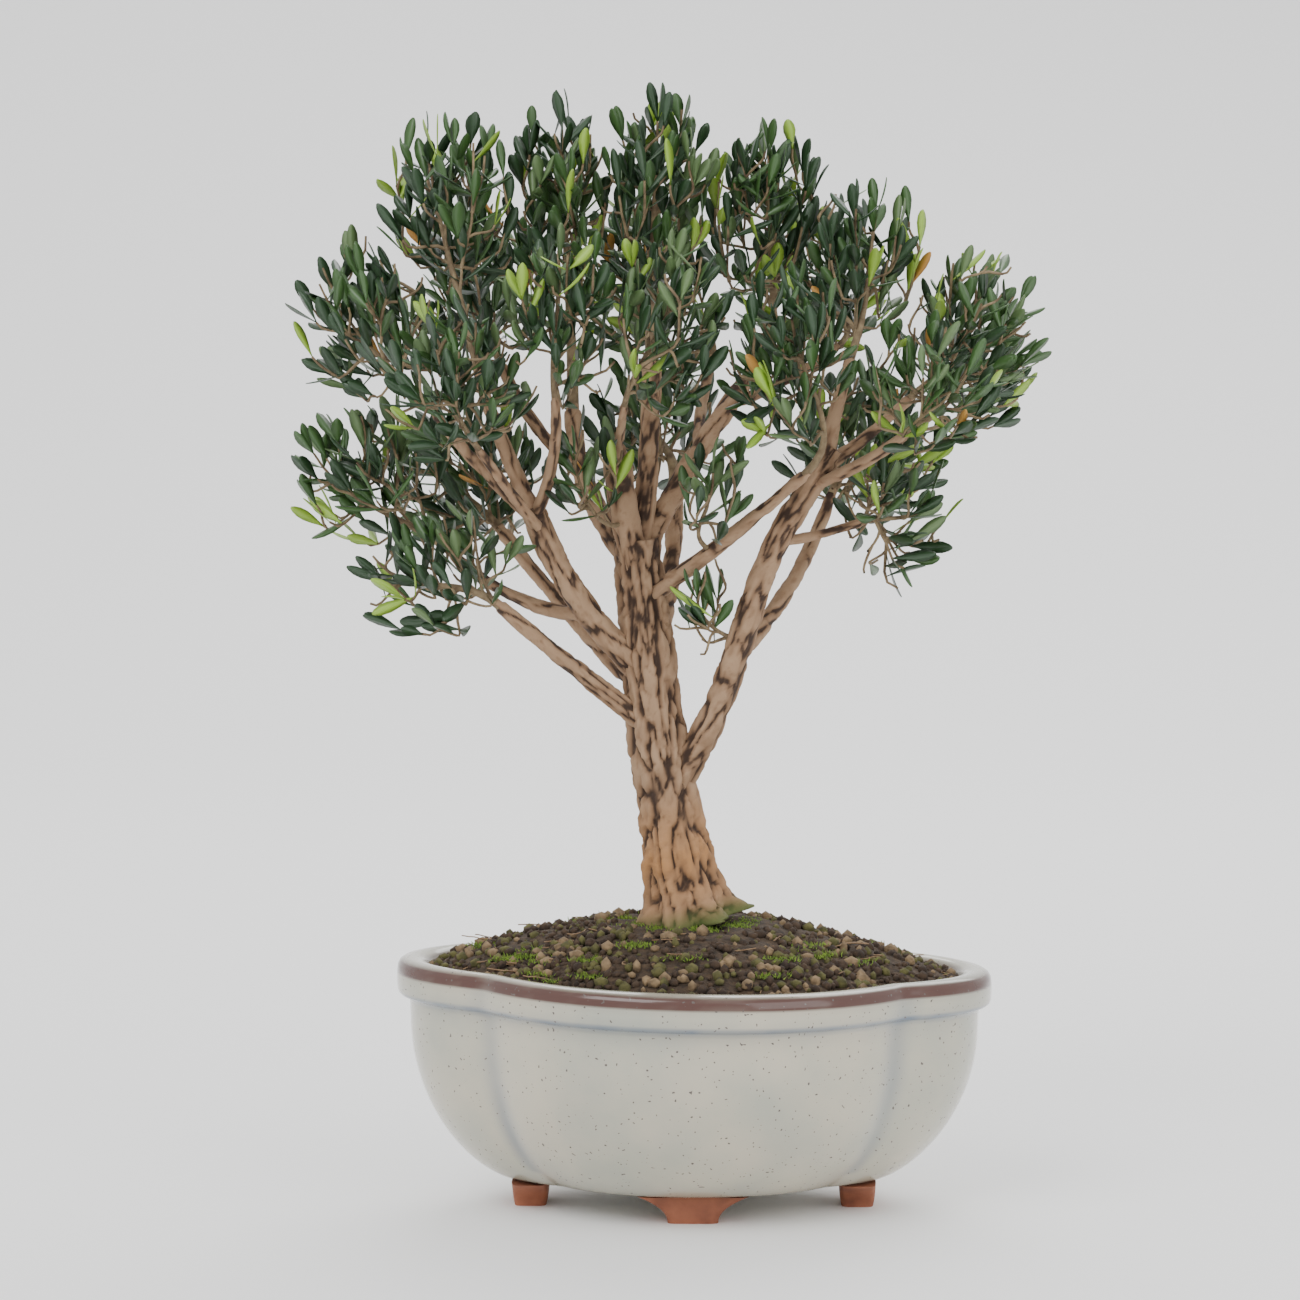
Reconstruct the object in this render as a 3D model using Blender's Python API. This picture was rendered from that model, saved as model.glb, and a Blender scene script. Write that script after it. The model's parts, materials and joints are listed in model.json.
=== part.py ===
"""Potted Chinese boxwood bonsai: quatrefoil pot, mounded soil, trunk, boughs and masses of foliage.

Sizes are in millimetres about the middle of the pot, with the ground at zero, and MM turns them
into Blender's metres. The last step centres the whole plant over the world's origin.
"""

import math
import random
from dataclasses import dataclass

import bmesh
import bpy
import numpy as np
from mathutils import Vector

MM = 0.001
GAP = 0.3
SEED = 41

# Pot, read in plan as four lobes that meet in notches
RIM_HALF_LENGTH = 107.5
RIM_HALF_DEPTH = 83.0
NOTCH_X = 73.5
NOTCH_Y = 44.0
LONG_LOBE_STEPS = 13
SHORT_LOBE_STEPS = 8
LOBE_SHOULDER = 2.3
LOBE_ROUND = 0.85
RIM_HEIGHT = 86.9
RIM_FALL = 0.021
FALL_STARTS = 20.0
BODY_FOOT = 9.7
BODY_TOP = 66.0
BODY_FOOT_INSET = 41.0
BODY_TOP_INSET = 5.0
BODY_RINGS = 6
LIP_DROP = 12.8
LIP_OVERHANG = 4.2
RIM_WIDTH = 11.5
WALL = 6.5
FLOOR = 16.0
FLOOR_INSET = 47.0
DRAIN_RADIUS = 5.5
DRAIN_X = 24.0

# Feet, one under each lobe
FOOT_HEIGHT = BODY_FOOT - GAP
FOOT_TOP_LENGTH = 40.0
FOOT_SOLE_LENGTH = 18.0
FOOT_THICKNESS = 13.0
SIDE_FOOT_X = 58.5
FRONT_FOOT_Y = 34.5

# Soil, a mound with a flat place for the trunk
SOIL_FLOOR_GAP = 0.4
SOIL_WALL_GAP = 0.6
SOIL_EDGE = 83.0
SOIL_TOP = 100.0
SOIL_RINGS = 5
PLATEAU_RADIUS = 25.0
LUMP = 0.7

# Trunk
TRUNK_FOOT = Vector((-1.0, 8.0, SOIL_TOP + GAP))
TRUNK_TIP = Vector((-20.5, 5.0, 238.0))
TRUNK_BOW = 1.8
TRUNK_WAIST_RADIUS = 9.0
TRUNK_BUTT_RADIUS = 13.5
FLARE = 6.5
FLARE_HEIGHT = 9.0
ROOT_RIDGES = 7
ROOT_RIDGE_DEPTH = 0.16
ROOT_RIDGE_HEIGHT = 16.0
TRUNK_SIDES = 21
TRUNK_RINGS = 15

LIMB_SIDES = 8
LIMB_RING_EVERY = 13.0

# Foliage
LEAF_LENGTH = 22.0
LEAF_WIDTH = 9.0
LEAF_THICKNESS = 0.7
LEAF_ROOT_WIDTH = 1.5
LEAF_SINK = 1.0
LEAF_OPENING = 44.0
PAIR_GAP = 8.0
LEAF_PAIRS = 1
LEAF_APART = 1.9
TWIG_RADIUS = 0.75
TWIG_TIP_RADIUS = 0.55
STEM_TAPER = 0.8
STEM_STEPS = 4
TWIG_STEPS = 2
TIP_SPACING = 20.0
TIP_SHELL = (0.15, 0.72)
TIP_TRIES = 260
LIMB_CLEARANCE = 1.1
SPACE_MARGIN = 0.4
UPWARD_PULL = 0.55
WIDEST_FORK = 78.0
FLAT_DEGREES = 0.5

COLOURS = {
    "glaze": ((0.50, 0.48, 0.40), 0.18),
    "terracotta": ((0.27, 0.10, 0.055), 0.85),
    "soil": ((0.055, 0.035, 0.02), 0.95),
    "bark": ((0.30, 0.19, 0.11), 0.85),
    "foliage": ((0.045, 0.12, 0.03), 0.45),
}


@dataclass(frozen=True)
class Limb:
    """A tapering bough: it leaves its parent at a fraction of the parent's length."""

    parent: str
    at: float
    tip: tuple
    foot_radius: float
    tip_radius: float
    bow: tuple = (0.0, 0.0, 0.0)
    wave: tuple = (0.0, 0.0, 0.0)


@dataclass(frozen=True)
class Mass:
    """A mass of foliage in its own rounded space; its stem leaves a limb at a fraction of its length."""

    limb: str
    centre: tuple
    reach: tuple
    lead: tuple
    at: float = 1.0


LIMBS = {
    "right_bough": Limb("trunk", 0.32, (49.5, -14, 271), 5.6, 4.4, (-2, -4, 0), (3.2, 0, 0)),
    "left_low_bough": Limb("trunk", 0.50, (-70, -17, 217), 4.4, 2.2, (0, 0, -1)),
    "left_big_bough": Limb("trunk", 0.64, (-57, -18, 251), 5.2, 4.4, (-4.5, 0, -3)),
    "small_right_bough": Limb("trunk", 0.84, (40, -33, 264), 3.5, 1.9, (0, 0, -1.5)),
    "cut_stub": Limb("trunk", 0.90, (-27.5, -8, 270), 5.6, 5.0, (-1.5, 0, 0)),
    "centre_leader": Limb("trunk", 0.97, (-15.5, 13, 303), 4.4, 3.2, (1.5, -1, 0)),
    "right_leader": Limb("trunk", 0.95, (19, 31, 295), 4.8, 3.2, (-2.5, -2, -1)),
    "left_back_bough": Limb("trunk", 0.93, (-45, 52, 284), 5.0, 3.0, (-6, 1, -3)),
    "second_left_bough": Limb("left_big_bough", 0.42, (-88, 14, 233), 2.8, 2.0, (0, 3, -6)),
    "left_upper_bough": Limb("left_big_bough", 0.97, (-76, -23, 301), 3.0, 2.1, (-2, 0, 1)),
    "left_side_bough": Limb("left_big_bough", 0.93, (-91, -24, 284), 2.6, 1.7, (-1, 0, -1)),
    "left_front_bough": Limb("left_big_bough", 0.88, (-74, -48, 272), 2.2, 1.6, (0, -3, 0)),
    "inner_left_bough": Limb("left_big_bough", 0.95, (-48, -42, 290), 2.2, 1.6, (3, -3, 0)),
    "stub_twig": Limb("cut_stub", 0.93, (-24, -38, 287), 1.7, 1.4, (0, -2, 0)),
    "right_upper_bough": Limb("right_bough", 0.97, (55, -16, 303), 2.8, 2.0, (-1, 0, 0)),
    "right_outer_bough": Limb("right_bough", 0.95, (77, 5, 289), 2.6, 1.8, (0, 2, -2)),
    "right_front_bough": Limb("right_bough", 0.90, (74, -38, 277), 2.3, 1.7, (0, 0, -2)),
    "right_low_bough": Limb("right_bough", 0.74, (60, -6, 245), 1.9, 1.4, (0, 2, -1)),
    "back_bough": Limb("trunk", 0.70, (-8, 62, 258), 4.4, 2.8, (3, 3, -6)),
    "back_left_bough": Limb("trunk", 0.58, (-72, 46, 240), 4.0, 2.4, (2, 4, -5)),
    "back_right_bough": Limb("right_bough", 0.42, (50, 44, 254), 3.4, 2.2, (2, 3, -5)),
    "upper_back_left_bough": Limb("left_back_bough", 0.62, (-72, 56, 300), 2.6, 1.9, (-2, 4, -3)),
    "upper_back_bough": Limb("right_leader", 0.62, (6, 62, 302), 2.4, 1.8, (-2, 5, -2)),
    "upper_back_right_bough": Limb("right_leader", 0.86, (52, 46, 306), 2.2, 1.7, (0, 2, -2)),
}

MASSES = {
    "foliage_far_left": Mass("second_left_bough", (-117, 12, 261), (32, 28, 33), (-144, 12, 281)),
    "foliage_left_low": Mass("left_low_bough", (-88, -22, 227), (36, 26, 29), (-121, -26, 246)),
    "foliage_left_middle": Mass("left_side_bough", (-113, -6, 316), (32, 34, 38), (-133, -8, 340)),
    "foliage_left_top": Mass("left_upper_bough", (-86, 0, 352), (29, 33, 42), (-97, -2, 392)),
    "foliage_top_left": Mass("left_back_bough", (-47, 12, 360), (24, 34, 39), (-47, 4, 398)),
    "foliage_top_centre": Mass("centre_leader", (-14, 4, 362), (26, 33, 40), (-13, 2, 401)),
    "foliage_top_right": Mass("right_leader", (23, 10, 354), (27, 34, 37), (27, 6, 389)),
    "foliage_right_top": Mass("right_upper_bough", (58, -2, 336), (28, 33, 35), (66, -2, 368)),
    "foliage_right_middle": Mass("right_outer_bough", (98, 0, 311), (30, 34, 37), (121, 0, 335)),
    "foliage_right_low": Mass("right_low_bough", (69, -6, 247), (26, 28, 33), (90, -8, 266)),
    "foliage_front_left": Mass("left_front_bough", (-80, -58, 294), (34, 30, 36), (-90, -70, 321)),
    "foliage_front_inner_left": Mass("inner_left_bough", (-44, -62, 316), (26, 30, 38), (-46, -64, 352)),
    "foliage_front_centre": Mass("stub_twig", (-8, -60, 314), (25, 30, 38), (-6, -62, 350)),
    "foliage_front_right": Mass("small_right_bough", (32, -56, 302), (27, 30, 38), (34, -62, 338)),
    "foliage_front_far_right": Mass("right_front_bough", (80, -50, 292), (31, 28, 32), (100, -60, 311)),
    "foliage_fork_left": Mass("cut_stub", (-38, -24, 262), (18, 20, 25), (-44, -34, 282), 0.45),
    "foliage_fork_right": Mass("small_right_bough", (8, -30, 256), (18, 20, 25), (6, -38, 278), 0.42),
    "foliage_inner_right": Mass("right_bough", (5, -8, 214), (17, 17, 24), (-2, -14, 232), 0.46),
    "foliage_back_left": Mass("back_left_bough", (-84, 54, 258), (36, 33, 36), (-106, 64, 282)),
    "foliage_back_upper_left": Mass("upper_back_left_bough", (-78, 58, 324), (33, 33, 37), (-88, 66, 354)),
    "foliage_back_upper": Mass("upper_back_bough", (-20, 70, 332), (32, 34, 37), (-22, 78, 362)),
    "foliage_back_upper_right": Mass("upper_back_right_bough", (42, 60, 326), (32, 33, 35), (54, 70, 354)),
    "foliage_back_low": Mass("back_bough", (-16, 80, 276), (34, 31, 32), (-18, 100, 296)),
    "foliage_back_right": Mass("back_right_bough", (62, 60, 270), (36, 33, 36), (82, 74, 292)),
    "foliage_back_far_right": Mass("right_outer_bough", (104, 40, 296), (22, 22, 26), (114, 50, 312), 0.8),
}


def dress(thing, kind):
    """Give an object its own Principled material."""
    colour, roughness = COLOURS[kind]
    material = bpy.data.materials.new(f"{kind}_{thing.name}")
    material.use_nodes = True
    shader = material.node_tree.nodes["Principled BSDF"]
    shader.inputs["Base Color"].default_value = (*colour, 1.0)
    shader.inputs["Roughness"].default_value = roughness
    shader.inputs["Metallic"].default_value = 0.0
    thing.data.materials.append(material)
    return thing


def loft(name, rings):
    """Extrude the first ring's face through the other rings, which closes the ends with flat faces."""
    bm = bmesh.new()
    face = bm.faces.new([bm.verts.new(point * MM) for point in rings[0]])
    foot = face
    for before, after in zip(rings, rings[1:]):
        places = {tuple(vert.co): point for vert, point in zip(face_ring(face, before), after)}
        made = bmesh.ops.extrude_face_region(bm, geom=[face])["geom"]
        if face is not foot:
            bmesh.ops.delete(bm, geom=[face], context="FACES_ONLY")
        face = next(item for item in made if isinstance(item, bmesh.types.BMFace))
        for vert in face.verts:
            vert.co = places[tuple(vert.co)] * MM
    bmesh.ops.recalc_face_normals(bm, faces=bm.faces)
    mesh = bpy.data.meshes.new(name)
    bm.to_mesh(mesh)
    bm.free()
    thing = bpy.data.objects.new(name, mesh)
    bpy.context.scene.collection.objects.link(thing)
    return thing


def face_ring(face, ring):
    """The face's corners in the order of the ring's points."""
    corners = list(face.verts)
    start = min(range(len(corners)), key=lambda i: (corners[i].co - ring[0] * MM).length)
    corners = corners[start:] + corners[:start]
    if (corners[1].co - ring[1] * MM).length > (corners[-1].co - ring[1] * MM).length:
        corners = corners[:1] + corners[:0:-1]
    return corners


def smooth(thing, degrees=40.0):
    """Shade round faces smooth and keep real edges."""
    thing.data.shade_smooth()
    thing.data.set_sharp_from_angle(angle=math.radians(degrees))
    return thing


def cut(thing, cutter):
    """Take the cutter's shape out of an object and leave the cutter as a guide."""
    cutter.hide_render = True
    cutter.display_type = "WIRE"
    step = thing.modifiers.new(f"clear_of_{cutter.name}", "BOOLEAN")
    step.operation = "DIFFERENCE"
    step.object = cutter


def tube_rings(path, radii, sides, shape=None, foot_faces=None):
    """Rings of points square to a path, carried along it without twist; the first may face its own way."""
    rings = []
    side = None
    for index, point in enumerate(path):
        ahead = path[min(index + 1, len(path) - 1)]
        behind = path[max(index - 1, 0)]
        forward = (ahead - behind).normalized()
        if index == 0 and foot_faces:
            forward = foot_faces
        if side is None:
            side = forward.orthogonal().normalized()
        side = (side - forward * side.dot(forward)).normalized()
        across = forward.cross(side)
        ring = []
        for corner in range(sides):
            angle = 2 * math.pi * corner / sides
            swell = shape(index, angle) if shape else 1.0
            spoke = side * math.cos(angle) + across * math.sin(angle)
            ring.append(point + spoke * radii[index] * swell)
        rings.append(ring)
    return rings


def lobe(half_span, notch, crown, steps):
    """Points over one lobe from its first notch, as distance along and distance out."""
    points = []
    for step in range(steps):
        u = -math.cos(math.pi * step / steps)
        bulge = (1 - abs(u) ** LOBE_SHOULDER) ** LOBE_ROUND
        points.append((half_span * u, notch + (crown - notch) * bulge))
    return points


def pot_outline():
    """The rim's outer edge in plan, counter-clockwise from the front left notch."""
    long_lobe = lobe(NOTCH_X, NOTCH_Y, RIM_HALF_DEPTH, LONG_LOBE_STEPS)
    short_lobe = lobe(NOTCH_Y, NOTCH_X, RIM_HALF_LENGTH, SHORT_LOBE_STEPS)
    front = [(along, -out) for along, out in long_lobe]
    right = [(out, along) for along, out in short_lobe]
    back = [(-along, out) for along, out in long_lobe]
    left = [(-out, -along) for along, out in short_lobe]
    points = np.array(front + right + back + left)
    return 0.5 * points + 0.25 * np.roll(points, 1, axis=0) + 0.25 * np.roll(points, -1, axis=0)


def rim_fall(x, z):
    """How far the kiln let the rim down at x, growing from nothing low on the body."""
    return -RIM_FALL * x * max(0.0, z - FALL_STARTS) / (RIM_HEIGHT - FALL_STARTS)


def pot_ring(outline, z, inset):
    """The outline drawn in towards the middle by an inset, at a height."""
    wide = (RIM_HALF_LENGTH - inset) / RIM_HALF_LENGTH
    deep = (RIM_HALF_DEPTH - inset) / RIM_HALF_DEPTH
    return [Vector((x * wide, y * deep, z + rim_fall(x * wide, z))) for x, y in outline]


def body_inset(z):
    """How far the bowl's outer wall stands in from the rim at a height."""
    depth = min(1.0, max(0.0, (BODY_TOP - z) / (BODY_TOP - BODY_FOOT)))
    curl = 1 - (1 - depth ** 2) ** (2 / 3)
    return BODY_TOP_INSET + (BODY_FOOT_INSET - BODY_TOP_INSET) * curl


def make_pot():
    """The glazed bowl: bulging wall, overhanging lip, open top and two drain holes."""
    outline = pot_outline()
    heights = [BODY_FOOT + (BODY_TOP - BODY_FOOT) * (i / BODY_RINGS) ** 1.7 for i in range(BODY_RINGS + 1)]
    lip_foot = RIM_HEIGHT - LIP_DROP
    profile = [(z, body_inset(z)) for z in heights]
    profile += [
        (lip_foot - 0.6, LIP_OVERHANG + 0.4),
        (lip_foot, 1.2),
        (lip_foot + 4.0, 0.2),
        (RIM_HEIGHT - 2.6, 0.4),
        (RIM_HEIGHT - 0.6, 2.4),
        (RIM_HEIGHT, 5.5),
        (RIM_HEIGHT - 1.0, RIM_WIDTH - 1.2),
        (RIM_HEIGHT - 3.5, RIM_WIDTH),
        (BODY_TOP - 4.0, RIM_WIDTH + 0.6),
        (FLOOR + 18.0, body_inset(FLOOR + 18.0) + WALL),
        (FLOOR, FLOOR_INSET),
    ]
    pot = loft("pot_bowl", [pot_ring(outline, z, inset) for z, inset in profile])
    for side in (-1, 1):
        path = [Vector((side * DRAIN_X, 0, z)) for z in (BODY_FOOT - 3, FLOOR + 3)]
        hole = loft(f"drain_guide_{'left' if side < 0 else 'right'}", tube_rings(path, [DRAIN_RADIUS] * 2, 12))
        cut(pot, hole)
    return dress(smooth(pot), "glaze")


def make_feet():
    """Four low feet with hollowed ends, long side along the wall that each one carries."""
    places = {
        "pot_foot_front": (0, -FRONT_FOOT_Y, True),
        "pot_foot_back": (0, FRONT_FOOT_Y, True),
        "pot_foot_left": (-SIDE_FOOT_X, 0, False),
        "pot_foot_right": (SIDE_FOOT_X, 0, False),
    }
    for name, (x, y, lengthwise) in places.items():
        rings = []
        for share in (0.0, 0.12, 0.4, 0.7, 1.0):
            half = FOOT_SOLE_LENGTH / 2 + (FOOT_TOP_LENGTH - FOOT_SOLE_LENGTH) / 2 * share ** 2.2
            thick = FOOT_THICKNESS / 2 * (0.88 if share == 0.0 else 1.0)
            corners = [(-half, -thick), (half, -thick), (half, thick), (-half, thick)]
            if not lengthwise:
                corners = [(across, -along) for along, across in corners]
            rings.append([Vector((x + a, y + b, FOOT_HEIGHT * share)) for a, b in corners])
        dress(loft(name, rings), "terracotta")


def make_soil(rng):
    """Soil that fills the pot and mounds up to a flat place under the trunk."""
    outline = pot_outline()
    profile = [
        (FLOOR + SOIL_FLOOR_GAP, FLOOR_INSET + SOIL_WALL_GAP),
        (FLOOR + 18.0, body_inset(FLOOR + 18.0) + WALL + SOIL_WALL_GAP),
        (BODY_TOP - 4.0, RIM_WIDTH + 0.6 + SOIL_WALL_GAP),
        (SOIL_EDGE, RIM_WIDTH + SOIL_WALL_GAP),
    ]
    rings = [pot_ring(outline, z, inset) for z, inset in profile]
    wall = rings[-1]
    for step in range(1, SOIL_RINGS + 1):
        share = step / SOIL_RINGS
        ring = []
        for edge in wall:
            bearing = math.atan2(edge.y - TRUNK_FOOT.y, edge.x - TRUNK_FOOT.x)
            flat = Vector((TRUNK_FOOT.x, TRUNK_FOOT.y, SOIL_TOP))
            flat += Vector((math.cos(bearing), math.sin(bearing), 0)) * PLATEAU_RADIUS
            point = edge.lerp(flat, share)
            fullness = 1.7 - 0.35 * edge.x / RIM_HALF_LENGTH
            point.z = edge.z + (SOIL_TOP - edge.z) * (1 - (1 - share) ** fullness)
            if step < SOIL_RINGS:
                point.z += LUMP * rng.uniform(-1, 1)
            ring.append(point)
        rings.append(ring)
    dress(smooth(loft("soil", rings), 60), "soil")


def trunk_point(share):
    """A place on the trunk's centre line, from its foot to its tip."""
    point = TRUNK_FOOT.lerp(TRUNK_TIP, share)
    point.x = TRUNK_FOOT.x + (TRUNK_TIP.x - TRUNK_FOOT.x) * share ** 0.9
    point.x -= TRUNK_BOW * math.sin(math.pi * share)
    return point


def trunk_radius(share):
    """The trunk's radius without ridges, with the flare at its foot."""
    height = (TRUNK_TIP.z - TRUNK_FOOT.z) * share
    taper = TRUNK_WAIST_RADIUS + (TRUNK_BUTT_RADIUS - TRUNK_WAIST_RADIUS) * (1 - share) ** 1.3
    return taper + FLARE * math.exp(-height / FLARE_HEIGHT)


def trunk_ridge(share, angle):
    """Root ridges that fade upwards, as a factor on the radius."""
    height = (TRUNK_TIP.z - TRUNK_FOOT.z) * share
    depth = ROOT_RIDGE_DEPTH * math.exp(-height / ROOT_RIDGE_HEIGHT) + 0.025
    return 1 + depth * math.cos(ROOT_RIDGES * angle + 2.2 * share)


def limb_point(name, share):
    """A place on a limb's centre line, bowed and waved off the straight line to its tip."""
    if name == "trunk":
        return trunk_point(share)
    limb = LIMBS[name]
    start = limb_point(limb.parent, limb.at)
    point = start.lerp(Vector(limb.tip), share)
    point += Vector(limb.bow) * 4 * share * (1 - share)
    return point + Vector(limb.wave) * math.sin(2 * math.pi * share)


def limb_radius(name, share):
    """A limb's radius at a fraction of its length."""
    if name == "trunk":
        return trunk_radius(share)
    limb = LIMBS[name]
    return limb.foot_radius + (limb.tip_radius - limb.foot_radius) * share ** 0.8


def limb_direction(name, share):
    """The way a limb runs at a fraction of its length."""
    ahead = limb_point(name, min(1.0, share + 0.01))
    return (ahead - limb_point(name, max(0.0, share - 0.01))).normalized()


def wood_rings(name, grow):
    """The rings of the trunk or a limb, swollen by a clearance."""
    if name == "trunk":
        shares = [(i / TRUNK_RINGS) ** 1.25 for i in range(TRUNK_RINGS + 1)]
        path = [trunk_point(share) for share in shares]
        path[0] = path[0] - Vector((0, 0, grow))
        path[-1] = path[-1] + limb_direction(name, 1.0) * grow
        radii = [trunk_radius(share) + grow for share in shares]
        radii[-1] *= 0.82
        rings = tube_rings(path, radii, TRUNK_SIDES, lambda i, angle: trunk_ridge(shares[i], angle))
        for point in rings[0]:
            point.z = path[0].z
        return rings
    straight = (Vector(LIMBS[name].tip) - limb_point(name, 0.0)).length
    steps = max(3, round(straight / LIMB_RING_EVERY))
    shares = [i / steps for i in range(steps + 1)]
    path = [limb_point(name, share) for share in shares]
    path[-1] = path[-1] + limb_direction(name, 1.0) * grow
    radii = [limb_radius(name, share) + grow for share in shares]
    if name == "cut_stub":
        path.append(path[-1] + limb_direction(name, 1.0) * 2.4)
        radii.append(radii[-1] * 0.6)
    return tube_rings(path, radii, LIMB_SIDES)


def meets(name, other):
    """Whether a limb's first half comes near enough to another to be cut clear of it."""
    for step in range(11):
        here = limb_point(name, 0.05 * step)
        for place in range(21):
            reach = limb_radius(name, 0.05 * step) + limb_radius(other, 0.05 * place) + 1.0
            if (here - limb_point(other, 0.05 * place)).length < reach:
                return True
    return False


def make_wood():
    """The trunk and each limb, every limb cut clear of what it grows from and of its elders."""
    dress(smooth(loft("trunk", wood_rings("trunk", 0.0)), 50), "bark")
    guides = {"trunk": loft("trunk_guide", wood_rings("trunk", GAP))}
    for name in LIMBS:
        limb = dress(smooth(loft(name, wood_rings(name, 0.0)), 50), "bark")
        for other, guide in guides.items():
            if meets(name, other):
                cut(limb, guide)
        guides[name] = loft(f"{name}_guide", wood_rings(name, GAP))
    for guide in guides.values():
        guide.hide_render = True
        guide.display_type = "WIRE"


class Wood:
    """Limbs and stems as short straight pieces, for asking how far a point is from their bark."""

    def __init__(self):
        self.owners, self.starts, self.ends, self.radii = [], [], [], []
        for name in ["trunk", *LIMBS]:
            points = [limb_point(name, step / 12) for step in range(13)]
            swell = 1 + ROOT_RIDGE_DEPTH if name == "trunk" else 1.0
            self.add(name, points, [limb_radius(name, step / 12) * swell for step in range(12)])

    def add(self, owner, points, radii):
        """Add a run of straight pieces that belong to an owner."""
        for start, end, radius in zip(points, points[1:], radii):
            self.owners.append(owner)
            self.starts.append(tuple(start))
            self.ends.append(tuple(end))
            self.radii.append(radius)

    def clearance(self, points, owner=""):
        """The least distance from any of the points to any bark but the owner's."""
        others = np.array([name != owner for name in self.owners])
        starts = np.array(self.starts)[others]
        runs = np.array(self.ends)[others] - starts
        offsets = np.asarray(points)[:, None, :] - starts[None]
        shares = np.clip((offsets * runs[None]).sum(axis=2) / (runs ** 2).sum(axis=1), 0, 1)
        nearest = offsets - shares[..., None] * runs[None]
        return float((np.linalg.norm(nearest, axis=2) - np.array(self.radii)[others]).min())


class Space:
    """A mass's own room: its rounded reach, cut by flat borders with the other masses."""

    def __init__(self, name):
        mass = MASSES[name]
        self.centre = np.array(mass.centre, float)
        self.reach = np.array(mass.reach, float)
        self.weight = float((self.reach ** 2).mean())
        others = [other for key, other in MASSES.items() if key != name]
        self.others = np.array([other.centre for other in others], float)
        self.other_weights = np.array([(np.array(other.reach, float) ** 2).mean() for other in others])
        self.apart = np.linalg.norm(self.others - self.centre, axis=1)

    def holds(self, points, rounded=True):
        """Whether all the points lie in the space, or within its flat borders only."""
        points = np.asarray(points, float)
        own = ((points - self.centre) ** 2).sum(axis=1) - self.weight
        far = ((points[:, None, :] - self.others[None]) ** 2).sum(axis=2) - self.other_weights
        inside = (far - own[:, None] > 2 * SPACE_MARGIN * self.apart).all()
        if rounded:
            inside = inside and (((points - self.centre) / self.reach) ** 2).sum(axis=1).max() <= 1.0
        return bool(inside)


def bend(start, leave, end, arrive, steps):
    """A smooth run of points between two places with the given directions."""
    length = (end - start).length
    points = []
    for step in range(steps + 1):
        t = step / steps
        first = start.lerp(start + leave * length * 0.4, t)
        middle = (start + leave * length * 0.4).lerp(end - arrive * length * 0.4, t)
        last = (end - arrive * length * 0.4).lerp(end, t)
        points.append(first.lerp(middle, t).lerp(middle.lerp(last, t), t))
    return points


def leaf_corners(root, along, across, length, width):
    """A leaf's six corners: two at its root, two at its widest, its tip and the top of its back."""
    face = along.cross(across).normalized()
    half_root = across * LEAF_ROOT_WIDTH / 2
    wide = root + along * length * 0.58
    return [
        root - half_root,
        root + half_root,
        wide + across * width / 2,
        root + along * length,
        wide - across * width / 2,
        root + along * length * 0.42 + face * LEAF_THICKNESS,
    ]


def make_leaf(corners):
    """A closed leaf of eight faces from its corners."""
    bm = bmesh.new()
    verts = [bm.verts.new(point * MM) for point in corners]
    rim, back = verts[:5], verts[5]
    for first, second in zip(rim, rim[1:] + rim[:1]):
        bm.faces.new((first, second, back))
    bm.faces.new(rim[::-1])
    bmesh.ops.triangulate(bm, faces=[face for face in bm.faces if len(face.verts) > 3])
    bmesh.ops.recalc_face_normals(bm, faces=bm.faces)
    mesh = bpy.data.meshes.new("leaf")
    bm.to_mesh(mesh)
    bm.free()
    return bpy.data.objects.new("leaf", mesh)


def leaf_samples(corners):
    """Points spread over a leaf, for testing what it touches."""
    rows = [corners[0].lerp(corners[1], 0.5), corners[5], corners[2].lerp(corners[4], 0.5), corners[3]]
    spine = [first.lerp(second, share) for first, second in zip(rows, rows[1:]) for share in (0.35, 0.7, 1.0)]
    edges = [corners[1].lerp(corners[2], 0.6), corners[2], corners[2].lerp(corners[3], 0.5)]
    edges += [corners[0].lerp(corners[4], 0.6), corners[4], corners[4].lerp(corners[3], 0.5)]
    return spine + edges


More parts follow.
